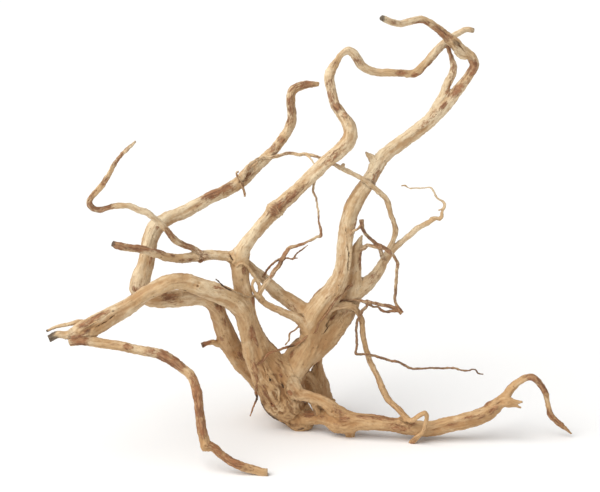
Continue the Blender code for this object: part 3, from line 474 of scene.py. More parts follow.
def middle_line(route):
    """Samples of the smooth curve through a route: places and radii."""
    knots = []
    for across, down, back, radius in route:
        place, growth = stand(across, down, back)
        knots.append((*place, radius * growth))
    knots = np.array(knots)
    first, last = knots[0].copy(), knots[-1].copy()
    first[:3] = 2 * knots[0, :3] - knots[1, :3]
    last[:3] = 2 * knots[-1, :3] - knots[-2, :3]
    knots = np.vstack([first, knots, last])
    samples = []
    for p0, p1, p2, p3 in zip(knots, knots[1:], knots[2:], knots[3:]):
        steps = max(1, round(float(np.linalg.norm(p2[:3] - p1[:3]))))
        t = (np.arange(steps) / steps)[:, None]
        piece = (
            (-t + 2 * t**2 - t**3) / 2 * p0
            + (2 - 5 * t**2 + 3 * t**3) / 2 * p1
            + (t + 4 * t**2 - 3 * t**3) / 2 * p2
            + (-(t**2) + t**3) / 2 * p3
        )
        piece[:, 3] = np.maximum(piece[:, 3], min(p1[3], p2[3]))
        samples.append(piece)
    samples.append(knots[-2:-1])
    samples = np.vstack(samples)
    return samples[:, :3], samples[:, 3]


# %% [markdown]
# Every sample also carries its heading and a direction across it, which turns as little as it can
# from one sample to the next. With these two, any point on the wood gets a way along its limb and
# a turn round it, so that grain, bark and cracks can follow the limb round its bends.

# %% Limbs
LEAST_LENGTH = 1e-6


def unit(rows):
    """Rows of vectors, each made one long."""
    return rows / np.maximum(np.linalg.norm(rows, axis=1), LEAST_LENGTH)[:, None]


class Limb:
    """A route's samples: place, radius, way along, heading and one way across."""

    leans, most_lean = 33, 0.96  # places across the near side at each sample, and how far round

    def __init__(self, name, places, radii):
        self.name = name
        self.places = places
        self.radii = radii
        steps = np.linalg.norm(np.diff(places, axis=0), axis=1)
        self.along = np.concatenate([[0], np.cumsum(steps)])
        self.heading = unit(np.gradient(places, axis=0))
        self.across = np.empty_like(places)
        way = np.array(Vector(self.heading[0]).orthogonal().normalized())
        for i, ahead in enumerate(self.heading):
            way = way - ahead * (way @ ahead)
            way /= np.linalg.norm(way)
            self.across[i] = way
        self.other = np.cross(self.heading, self.across)
        self.grid = self.grid_seen = None

    def near_side(self, across, down):
        """The place on the near side that is seen there, the ways out and along, and the radius."""
        if self.grid is None:
            sight = -SIGHT_AWAY
            facing = unit(sight - self.heading * (self.heading @ sight)[:, None])
            side = np.cross(self.heading, facing)
            lean = np.linspace(-self.most_lean, self.most_lean, self.leans)[None, :, None]
            out = np.sqrt(1 - lean**2) * facing[:, None] + lean * side[:, None]
            places = self.places[:, None] + out * self.radii[:, None, None]
            heading = np.broadcast_to(self.heading[:, None], places.shape)
            self.grid = [array.reshape(-1, 3) for array in (places, out, heading)]
            self.grid_seen = seen_at(self.grid[0])
        off_across, off_down = across - self.grid_seen[0], down - self.grid_seen[1]
        i = int(np.hypot(off_across, off_down).argmin())
        place, out, heading = (array[i] for array in self.grid)
        missed = SIGHT_RIGHT * off_across[i] - SIGHT_UP * off_down[i]
        near = place + missed - out * (missed @ out)
        return near, out, heading, self.radii[i // self.leans]


limbs = {name: Limb(name, *middle_line(route)) for name, route in ROUTES.items()}
print("samples:", sum(len(limb.radii) for limb in limbs.values()))
print("length of wood: %.2f m" % (sum(limb.along[-1] for limb in limbs.values()) * MM))

# %% [markdown]
# The skin is made twice: once for the stout wood and once for twigs under about five millimetres
# thick, because a skin fine enough for a twig would be far too heavy for a stem. A limb that gets
# thin towards its tip goes into both, with some overlap.

# %% Stout wood and twigs
TWIG_RADIUS = 2.25  # in millimetres
OVERLAP, LEAST_RUN = 5, 12  # in samples


def runs_of(limb):
    """Stretches of a limb that are all stout or all thin: first and last sample, and which."""
    is_thin = limb.radii < TWIG_RADIUS
    ends = [0, *(np.flatnonzero(np.diff(is_thin)) + 1), len(is_thin)]
    runs = []
    for first, last in zip(ends, ends[1:]):
        short = last - first < LEAST_RUN
        if runs and (short or runs[-1][2] == is_thin[first]):
            runs[-1][1] = last
        else:
            runs.append([first, last, is_thin[first]])
    return runs


stout, thin = [], []
for limb in limbs.values():
    for first, last, in_twigs in runs_of(limb):
        if in_twigs:
            first, last = max(0, first - OVERLAP), min(len(limb.radii), last + OVERLAP)
        (thin if in_twigs else stout).append((limb, slice(first, last)))
print("stout runs:", len(stout), "thin runs:", len(thin))

# %% [markdown]
# Every run becomes a tube: a curve with a round section, whose radius at each point is the limb's.
# The tubes are turned into mesh and joined, and a voxel remesh makes one closed skin of them all,
# with nothing left inside.

# %% Tubes and the first skin
def tube(limb, span, step):
    """A closed tube round a run of samples: a path that is given the run's own points."""
    picks = list(range(span.start, span.stop, step))
    if picks[-1] != span.stop - 1:
        picks.append(span.stop - 1)
    deselect_all()
    bpy.ops.curve.primitive_nurbs_path_add(location=(0, 0, 0))
    curve = bpy.context.object
    curve.data.splines.clear()
    spline = curve.data.splines.new("POLY")
    spline.points.add(len(picks) - 1)
    for point, i in zip(spline.points, picks):
        point.co = (*(limb.places[i] * MM), 1)
        point.radius = limb.radii[i]
    curve.data.bevel_depth = MM
    curve.data.bevel_resolution = 4
    curve.data.use_fill_caps = True
    bpy.ops.object.convert(target="MESH")
    return bpy.context.object


def skin(runs, name, step, voxel):
    """One closed mesh round all the runs' tubes."""
    tubes = [tube(limb, span, step) for limb, span in runs]
    deselect_all()
    for thing in tubes:
        thing.select_set(True)
    bpy.context.view_layer.objects.active = tubes[0]
    bpy.ops.object.join()
    whole = bpy.context.object
    whole.name = whole.data.name = name
    remesh = whole.modifiers.new("skin", "REMESH")
    remesh.mode = "VOXEL"
    remesh.voxel_size = voxel * MM
    remesh.adaptivity = 0
    bpy.ops.object.modifier_apply(modifier=remesh.name)
    return whole


STOUT_VOXEL, TWIG_VOXEL = ((1.16, 0.55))  # in millimetres
STOUT_STEP, TWIG_STEP = 2, 1  # samples from one point of a tube to the next
stout_wood = skin(stout, "stout_wood", STOUT_STEP, STOUT_VOXEL)
twigs = skin(thin, "twigs", TWIG_STEP, TWIG_VOXEL)
for piece in (stout_wood, twigs):
    print(piece.name, len(piece.data.vertices), "points")

# %% [markdown]
# Tubes that merely cross meet in a hard crease, but wood grows over such a place and fills it. So
# each point of the skin is moved to a rounded form: its distances to all limbs are blended, the
# nearest counting most, and the point goes where the blend is zero.

# %% Distances to all limbs at once
BLEND_SHARE = 0.26  # how far limbs flow into each other, as a share of their radius
BLEND_LEAST, BLEND_MOST = 0.35, 3.2
REACH = 14  # a limb farther than this from the skin takes no part there
CELL, BATCH = 16, 300  # points are taken in batches that lie near each other


class Wood:
    """All samples of the runs of one skin, in rows."""

    def __init__(self, runs):
        def rows(what):
            return np.concatenate([getattr(limb, what)[span] for limb, span in runs])

        self.names = [limb.name for limb, span in runs]
        self.places, self.radii, self.along = rows("places"), rows("radii"), rows("along")
        self.heading, self.across, self.other = rows("heading"), rows("across"), rows("other")
        self.owner = np.repeat(np.arange(len(runs)), [span.stop - span.start for _, span in runs])

    def names_at(self, rows):
        """The name of the limb that each row belongs to."""
        return np.array(self.names)[self.owner[rows]]

    def blend(self, points):
        """Blended distance, its slope, nearest row, and how nearly a second limb counts as much."""
        value, nearest = np.empty(len(points)), np.empty(len(points), int)
        slope, meeting = np.empty((len(points), 3)), np.empty(len(points))
        order = np.lexsort((points // CELL).T)
        for first in range(0, len(points), BATCH):
            take = order[first:first + BATCH]
            some = points[take]
            beyond = np.maximum(some.min(0) - self.places, 0) + np.maximum(
                self.places - some.max(0), 0
            )
            rows = np.flatnonzero(np.linalg.norm(beyond, axis=1) - self.radii < REACH)
            away = some[:, None] - self.places[rows]
            length = np.linalg.norm(away, axis=2)
            gap = length - self.radii[rows]
            starts = np.unique(self.owner[rows], return_index=True)[1]
            ends = [*starts[1:], len(rows)]
            each = np.arange(len(some))
            closest = [start + gap[:, start:end].argmin(1) for start, end in zip(starts, ends)]
            by_run = np.stack([gap[each, row] for row in closest], 1)
            least = by_run.min(1)
            nearest[take] = rows[gap.argmin(1)]
            reach = np.clip(BLEND_SHARE * self.radii[nearest[take]], BLEND_LEAST, BLEND_MOST)
            weight = np.exp((least[:, None] - by_run) / reach[:, None])
            value[take] = least - reach * np.log(weight.sum(1))
            weight /= weight.sum(1)[:, None]
            slope[take] = sum(
                away[each, row] * (share / np.maximum(length[each, row], LEAST_LENGTH))[:, None]
                for row, share in zip(closest, weight.T)
            )
            meeting[take] = 1 - weight.max(1)
        return value, slope, nearest, meeting


stout_rows, twig_rows = Wood(stout), Wood(thin)
print("rows:", len(stout_rows.radii), "of stout wood and", len(twig_rows.radii), "of thin wood")

# %% [markdown]
# A few short steps bring every point to the rounded form. Each step goes down the slope of the
# blended distance, as far as that distance says.

# %% Flow the limbs into each other
FLATTEST = 0.25  # the least square of a slope, so that no step shoots past the form


def points_of(piece):
    points = np.empty(len(piece.data.vertices) * 3)
    piece.data.vertices.foreach_get("co", points)
    return points.reshape(-1, 3) / MM


def set_points(piece, points):
    piece.data.vertices.foreach_set("co", (points * MM).ravel())
    piece.data.update()


def flow_together(piece, wood, rounds=3):
    """Moves the skin onto the rounded form; gives its way out, nearest rows and meeting places."""
    points = points_of(piece)
    for _ in range(rounds):
        value, slope = wood.blend(points)[:2]
        points -= slope * (value / np.maximum((slope**2).sum(1), FLATTEST))[:, None]
    set_points(piece, points)
    value, slope, nearest, meeting = wood.blend(points)
    print(piece.name, "left from the form: %.3f mm" % np.abs(value).mean())
    return points, unit(slope), nearest, meeting


flow_together(stout_wood, stout_rows)
flow_together(twigs, twig_rows)

# %% [markdown]
# Some features are finer than the skin's faces: drying cracks, the seams where two stems have grown
# against each other, and rings round dead knots. They are drawn as lines on their limbs, the way
# they are seen, and the faces near them are subdivided so that they get sharp edges.

# %% Cracks, seams and knots
# Limb, half width and depth in millimetres, and the places it passes
CRACKS = (
    ("left_arm", 0.75, 1.6, ((93, 329), (101, 325), (108, 321.5), (113, 317), (117, 313.5))),
    ("left_arm", 0.35, 0.7, ((83, 330), (90, 326), (97, 322))),
    ("left_branch", 0.8, 1.8, ((228.4, 251), (230.4, 256), (233, 262))),
    ("left_stem", 0.8, 1.8, ((232, 259), (233.8, 264), (235.6, 269))),
    ("right_branch", 0.7, 1.6, ((347.5, 242), (348.8, 255), (348.4, 266), (347.6, 276))),
    ("right_branch", 0.4, 0.8, ((345.6, 226), (347, 240))),
    ("right_branch", 0.35, 0.6, ((344, 280), (338, 292), (331, 302))),
    ("left_stem", 0.35, 0.6, ((269, 366), (274, 374), (279, 380))),
    ("left_stem", 0.5, 1.0, ((281, 381), (282.5, 384.5), (283, 389))),
    ("left_arm", 0.4, 0.8, ((266, 371), (269, 377), (271, 382))),
    ("left_arm", 0.4, 0.7, ((273, 387), (276, 394), (277, 402))),
    ("left_arm", 0.35, 0.6, ((262, 362), (265, 372), (266, 380))),
    ("left_stem", 0.35, 0.6, ((284, 397), (289, 404), (292, 411))),
    ("left_stem", 0.35, 0.6, ((276, 358), (281, 362), (284, 367))),
    ("right_stem", 0.45, 0.9, ((331, 323), (327, 330), (322, 336))),
    ("rear_arm", 0.35, 0.5, ((232, 350), (240, 362))),
    ("ground_branch", 0.4, 0.6, ((372, 431), (392, 433), (412, 437))),
    ("ground_branch", 0.35, 0.5, ((490, 408), (500, 402), (508, 399))),
    ("middle_branch", 0.35, 0.5, ((306, 186), (298, 194))),
    ("middle_branch", 0.35, 0.5, ((339, 66), (334, 74), (330, 83))),
)
# Limb, where its middle is seen, and its radius
KNOTS = (
    ("left_arm", 185, 290, 2.3),
    ("left_arm", 198, 286.5, 1.9),
    ("left_branch", 200.5, 260, 2.2),
    ("middle_branch", 347, 118, 1.6),
    ("right_branch_fork", 451, 79, 1.5),
    ("rear_arm", 224, 335, 2.0),
    ("forward_leg", 206, 446, 1.8),
    ("left_stem", 243, 268, 2.2),
    ("ground_branch_arch", 333, 412, 2.0),
    ("left_arm", 269.6, 379.5, 1.5),
    ("left_stem", 273, 402.6, 1.8),
    ("stem_web", 304.5, 377, 1.5),
    ("right_stem", 285, 357, 1.8),
    ("rear_arm", 153, 236, 1.6),
)
FINE = 2.5  # faces this near to a crack or knot are made fine, in millimetres
LINE_WANDER, LINE_BEND = 0.7, 0.45  # how far a line strays, and how often
LINE_STEP, LINE_REACH = 0.4, 6  # how closely it is sampled, and how deep it is looked for
FAR = 1e3  # the gap of a point that lies nowhere near
# A small patch still reaches this far in, as the limbs in front may stand off its own limb
PATCH_DEPTH, DEEP_SHARE = 4.5, 0.6


def on_limb(points, wood, nearest):
    """Way along, turn round and radius of the nearest limb, for each point."""
    away = points - wood.places[nearest]
    turn = np.arctan2(
        (away * wood.other[nearest]).sum(1), (away * wood.across[nearest]).sum(1)
    )
    along = wood.along[nearest] + (away * wood.heading[nearest]).sum(1)
    return along, turn, wood.radii[nearest]


def line_gap(points, name, line):
    """Distance of each point from a line drawn on a limb's near side, and its share of the way."""
    dots = [limbs[name].near_side(*dot)[:2] for dot in line]
    rows = []
    for (place, out), (next_place, next_out) in zip(dots, dots[1:]):
        steps = max(2, int(np.linalg.norm(next_place - place) / LINE_STEP))
        for t in np.linspace(0, 1, steps):
            rows.append((*(place + t * (next_place - place)), *(out + t * (next_out - out))))
    rows = np.array(rows)
    spots = rows[:, :3] + [
        LINE_WANDER * np.array(noise.noise_vector(Vector(row[:3] * LINE_BEND))) for row in rows
    ]
    outs = unit(rows[:, 3:])
    gap, share = np.full(len(points), FAR), np.zeros(len(points))
    inside = (points > spots.min(0) - LINE_REACH) & (points < spots.max(0) + LINE_REACH)
    mine = np.flatnonzero(inside.all(1))
    away = points[mine][:, None] - spots
    depth = (away * outs).sum(2)
    aside = np.sqrt(np.maximum((away**2).sum(2) - depth**2, 0))
    aside += FAR * (abs(depth) > LINE_REACH)
    gap[mine] = aside.min(1)
    share[mine] = aside.argmin(1) / (len(rows) - 1)
    return gap, share


def dot_gap(points, name, across, down, length=1, width=1):
    """Distance of each point from a place on a limb's near side, as a share of a patch's size."""
    middle, out, heading, radius = limbs[name].near_side(across, down)
    away = points - middle
    ahead, depth = away @ heading, away @ out
    aside = np.sqrt(np.maximum((away**2).sum(1) - ahead**2 - depth**2, 0))
    deep = max(width, PATCH_DEPTH, DEEP_SHARE * radius)
    return np.sqrt((ahead / length) ** 2 + (aside / width) ** 2 + (depth / deep) ** 2)


def make_fine(piece, wood, times):
    """Subdivides the faces near cracks and knots."""
    for _ in range(times):
        points = flow_together(piece, wood, 1)[0]
        gap = np.full(len(points), FAR)
        for name, _, _, line in CRACKS:
            gap = np.minimum(gap, line_gap(points, name, line)[0])
        for name, across, down, size in KNOTS:
            gap = np.minimum(gap, dot_gap(points, name, across, down) - size)
        make_active(piece)
        bpy.ops.object.mode_set(mode="EDIT")
        bpy.ops.mesh.select_mode(type="VERT")
        bpy.ops.mesh.select_all(action="DESELECT")
        bpy.ops.object.mode_set(mode="OBJECT")
        piece.data.vertices.foreach_set("select", gap < FINE)
        bpy.ops.object.mode_set(mode="EDIT")
        bpy.ops.mesh.subdivide(number_cuts=1)
        bpy.ops.object.mode_set(mode="OBJECT")


make_fine(stout_wood, stout_rows, 1)
print("cracks:", len(CRACKS), "knots:", len(KNOTS), "points:", len(stout_wood.data.vertices))

# %% [markdown]
# Root wood is never a clean tube. The limbs are a little oval and swollen, as the solid model has
# them. Shallow flutes run lengthwise where the root grew in strands, short swellings mark where
# side roots stood, and on the stem base the fibres twist and stand up in ridges.

# %% Where the wood is gnarled
GNARL_MOST, GNARL_STRETCH = 1.2, 5  # how strong it gets, and how much longer than wide a ridge is
UP_AND_LEFT = (-1, 0, 1)  # the fibres of the base are all counted this way
SEED_SHIFT = 17.3, 5.1, 9.7
LIMBS_APART, RINGS_APART = 31.7, 7.3  # so that no two limbs share a pattern
# Limb, where seen, how far it reaches in millimetres, and how gnarled
GNARLED = (
    ("left_arm", 268, 370, 14, 0.7),
    ("left_arm", 276, 386, 17, 0.9),
    ("left_stem", 270, 401, 15, 1.0),
    ("left_stem", 287, 412, 16, 1.1),
    ("left_stem", 294, 396, 12, 0.6),
    ("right_stem", 318, 346, 10, 0.3),
    ("stem_web", 304, 382, 10, 0.8),
    ("hollow_link", 314, 406, 7, 0.8),
    ("ground_branch", 336, 420, 14, 0.6),
    ("ground_branch", 350, 430, 10, 0.5),
    ("ground_branch", 400, 426, 12, 0.3),
    ("ground_branch", 496, 404, 14, 0.5),
    ("rear_arm", 248, 174, 13, 1.0),
    ("rear_arm", 298, 86, 9, 0.5),
    ("right_branch", 456, 44, 12, 1.0),
    ("left_arm", 86, 329, 14, 0.6),
    ("middle_branch", 352, 137, 12, 0.5),
    ("middle_branch", 278, 208, 14, 0.6),
    ("middle_branch", 338, 106, 9, 0.5),
    ("right_branch", 345, 262, 16, 0.4),
    ("left_arm_stub", 52, 337, 8, 0.7),
)


def noise_at(places, seed=0.0):
    """A smooth noise of about -1 to 1 at each place: another seed gives another pattern."""
    shift = Vector([seed * part for part in SEED_SHIFT])
    return np.array([noise.noise(Vector(place) + shift) for place in places])


def round_and_along(along, turn, radius, owner, stretch):
    """Places on a limb for a pattern that is stretched lengthwise, in millimetres."""
    round_it = np.stack([np.cos(turn) * radius, np.sin(turn) * radius], 1)
    return np.column_stack([round_it + owner[:, None] * LIMBS_APART, along / stretch])


def gnarl_at(points):
    """How gnarled each point is, and its place in a pattern that is stretched along the wood."""
    base = limbs["left_stem"].near_side(280, 395)[0]
    amount, flow = np.zeros(len(points)), np.zeros((len(points), 3))
    for name, across, down, reach, much in GNARLED:
        middle, out, heading, radius = limbs[name].near_side(across, down)
        share = much * np.exp(-((points - middle) ** 2).sum(1) / reach**2)
        amount += share
        flow += share[:, None] * heading * np.sign(heading @ UP_AND_LEFT)
    flow = unit(flow)
    ahead = ((points - base) * flow).sum(1)
    stretched = points - flow * (ahead * (1 - 1 / GNARL_STRETCH))[:, None]
    return np.minimum(amount, GNARL_MOST), stretched


print("gnarled places:", len(GNARLED))

# %% [markdown]
# The relief is a sum of patterns. The large ones are shares of the limb's radius, so that a twig
# gets little of them. The fine ones are in millimetres, and thin wood gets less of those too.

# %% Swellings, flutes and fibres
# Shares of the radius, and the length or the rate round the limb at which each pattern changes
OVAL, OVAL_LENGTH = 0.07, 31
RIDGE, RIDGE_LENGTH = 0.05, 17
LUMP, LUMP_LENGTH = 0.09, 26
KNUCKLE, KNUCKLE_LENGTH = 0.1, 9
FLUTE, FLUTE_RATE, FLUTE_LENGTH = 0.095, (2.1, 2.1, 1), 34
STRAND, STRAND_RATE = 0.065, (4.6, 4.6, 1.8)
WIDEST, FULL_RADIUS = 15, 5  # stouter wood swells no more, and thinner wood has fainter fibres
# Heights in millimetres, and rates in turns of the noise for each millimetre
FIBRE_MM, FIBRE_RATE, FIBRE_STRETCH = 0.3, 0.9, 6
PORE_MM, PORE_RATE = 0.5, 0.33
KNOB_MM, KNOB_RATE, KNOB_RADIUS = 0.4, 0.4, 3.2
GNARL_MM, GNARL_RATE = 1.3, 0.26
CREST, CREST_FALL = 0.45, 1.9  # how high a ridge's crest stands, and how steeply it falls
CREST_DETAIL = ((0.6, 0.55, 4), (0.35, 1.15, 6))  # finer noise on it: share, rate and seed
SWAY, SWAY_LENGTH = (3, 2.4, 2.7), 11  # how far the ridges sway, and over what length
SHADE, SHADE_FALL = 0.35, 1.4  # painted shade between ridges: how dark, and how fast it fades up a ridge


def swelling(points, wood, nearest, meeting):
    """How far each point moves out, in millimetres, and the shade painted between gnarled ridges.
    """
    along, turn, radius = on_limb(points, wood, nearest)
    owner = wood.owner[nearest]
    single = 1 - np.minimum(meeting * 2, 1)
    share = OVAL * np.sin(2 * turn + along / OVAL_LENGTH)
    share += RIDGE * np.sin(3 * turn - along / RIDGE_LENGTH + 1)
    share += LUMP * noise_at(points / LUMP_LENGTH)
    lift = along / FLUTE_LENGTH + owner * RINGS_APART
    ring = np.column_stack([np.cos(turn), np.sin(turn), lift])
    share += single * FLUTE * noise_at(ring * FLUTE_RATE)
    share += single * STRAND * noise_at(ring * STRAND_RATE)
    share += KNUCKLE * noise_at(points / KNUCKLE_LENGTH, 3)
    growth = share * np.minimum(radius, WIDEST)
    strength = np.clip(radius / FULL_RADIUS, 0.3, 1)
    lengthwise = round_and_along(along, turn, radius, owner, FIBRE_STRETCH)
    growth += strength * FIBRE_MM * noise_at(lengthwise * FIBRE_RATE)
    growth += strength * PORE_MM * noise_at(points * PORE_RATE, 5)
    growth += np.clip(KNOB_RADIUS - radius, 0, 1) * KNOB_MM * noise_at(points * KNOB_RATE, 12)
    gnarl, wavy = gnarl_at(points)
    wavy = wavy + noise_at(points / SWAY_LENGTH, 8)[:, None] * SWAY
    ridges = CREST - CREST_FALL * np.abs(noise_at(wavy * GNARL_RATE, 2))
    for detail, rate, seed in CREST_DETAIL:
        ridges += detail * noise_at(wavy * rate, seed)
    growth += strength * gnarl * GNARL_MM * ridges
    return growth, gnarl * np.clip(SHADE - SHADE_FALL * ridges, 0, 1)


print("patterns on a stem of 15 mm: ovals %.1f, flutes %.1f, fibres %.1f mm" % (
    OVAL * WIDEST, FLUTE * WIDEST, FIBRE_MM))

# %% [markdown]
# A twig never runs straight for long. Thin wood is moved off its route by a slow noise with a
# faster one on top, and stout wood hardly at all.

# %% Crooked twigs
WANDER_MM, WANDER_LENGTH = 1.1, 13
CROOK, CROOK_LENGTH = 0.4, 0.35  # smaller bends on top, as shares of these two
CALM_RADIUS, CALM_SPAN, CALM = 6.5, 4, 0.12  # where it is calm, how soon, and what is left there


def wander(points, radius):
    """Makes thin wood crooked: it wanders off its route by a fraction of its thickness."""
    shift = np.array([
        noise.noise_vector(Vector(place / WANDER_LENGTH))
        + CROOK * noise.noise_vector(Vector(place / (CROOK_LENGTH * WANDER_LENGTH)))
        for place in points
    ])
    return shift * (WANDER_MM * np.clip((CALM_RADIUS - radius) / CALM_SPAN, CALM, 1))[:, None]


print("thinnest wood strays by up to %.1f mm" % (WANDER_MM * (1 + CROOK)))

# %% [markdown]
# Twigs and limbs that broke off long ago end in a torn face, darker than the rest. The skin's round
# end is pushed back along the limb to a plane that noise makes ragged.

# %% Torn ends
# Limb, how far the tear is pushed back, how ragged it is, how grey, and how far the grey reaches
TORN_ENDS = (
    ("left_arm_stub", 1.2, 2.2, 1.0, 13),
    ("forward_leg", 2.2, 1.4, 0.4, 5),
    ("left_branch", 1.6, 1.2, 0.6, 3),
    ("left_arm", 1.5, 2.0, 0.3, 5),
    ("right_branch", 1.0, 1.8, 0.85, 8),
    ("middle_branch", 1.2, 1.6, 0.5, 5),
    ("rear_arm", 1.0, 1.2, 0.2, 6),
    ("rear_arm_stub", 0.8, 2.0, 0.45, 5),
    ("ground_branch_stub", 0.6, 2.2, 0.1, 4),
    ("ground_branch_thorn", 0.4, 1.6, 0.1, 4),
    ("right_branch_thorn", 0.4, 1.0, 0.3, 3),
    ("standing_twig", 0.8, 1.4, 0.3, 4),
    ("wrapped_root", 0.8, 0.8, 0.35, 4),
    ("back_foot_nub", 0.6, 0.8, 0.3, 4),
    ("ground_knob_left", 0.6, 1.0, 0.3, 4),
    ("left_twig", 0.4, 0.6, 0.3, 12),
    ("left_arm_twig", 0.3, 0.6, 0.7, 5),
    ("hooked_rootlet", 0.2, 0.6, 0.2, 4),
)
# Thin wood that has turned grey all over, and how much
GREYED = {
    "hanging_twig": 0.33, "standing_twig": 0.27, "angled_twig_loop": 0.3, "angled_twig": 0.22,
    "dark_twig": 0.3, "thin_fork": 0.2,
}
TEAR_RATE, GREY_RATE = 0.55, 0.25


def tear(points, wood, nearest):
    """Pushes torn ends back; gives the new points and how grey each one is."""
    names = wood.names_at(nearest)
    grey = np.array([GREYED.get(name, 0.0) for name in names])
    for name, back, ragged, tint, far in TORN_ENDS:
        limb = limbs[name]
        mine = np.flatnonzero(names == name)
        ahead = limb.heading[-1]
        beyond = (points[mine] - limb.places[-1]) @ ahead
        near = beyond > -2 * far
        mine, beyond = mine[near], beyond[near]
        if not len(mine):
            continue
        rough = 0.5 + noise_at(points[mine] * TEAR_RATE, 6)
        face = limb.radii[-1] - back - ragged * rough
        points[mine] += ahead * np.minimum(face - beyond, 0)[:, None]
        reach = far * (1 + 0.8 * noise_at(points[mine] * GREY_RATE, 7))
        grey[mine] = np.maximum(grey[mine], tint * np.clip((beyond + reach) / reach, 0, 1))
    return points, grey


print("torn ends:", len(TORN_ENDS))

# %% [markdown]
# The bark has mostly worn off. What is left sits in patches that are longer than wide, drawn here
# limb by limb as they are seen. Elsewhere, such as on the far side, a slow noise that is stretched
# along the limb decides where bark is left. A noise in the material frays the edges later.

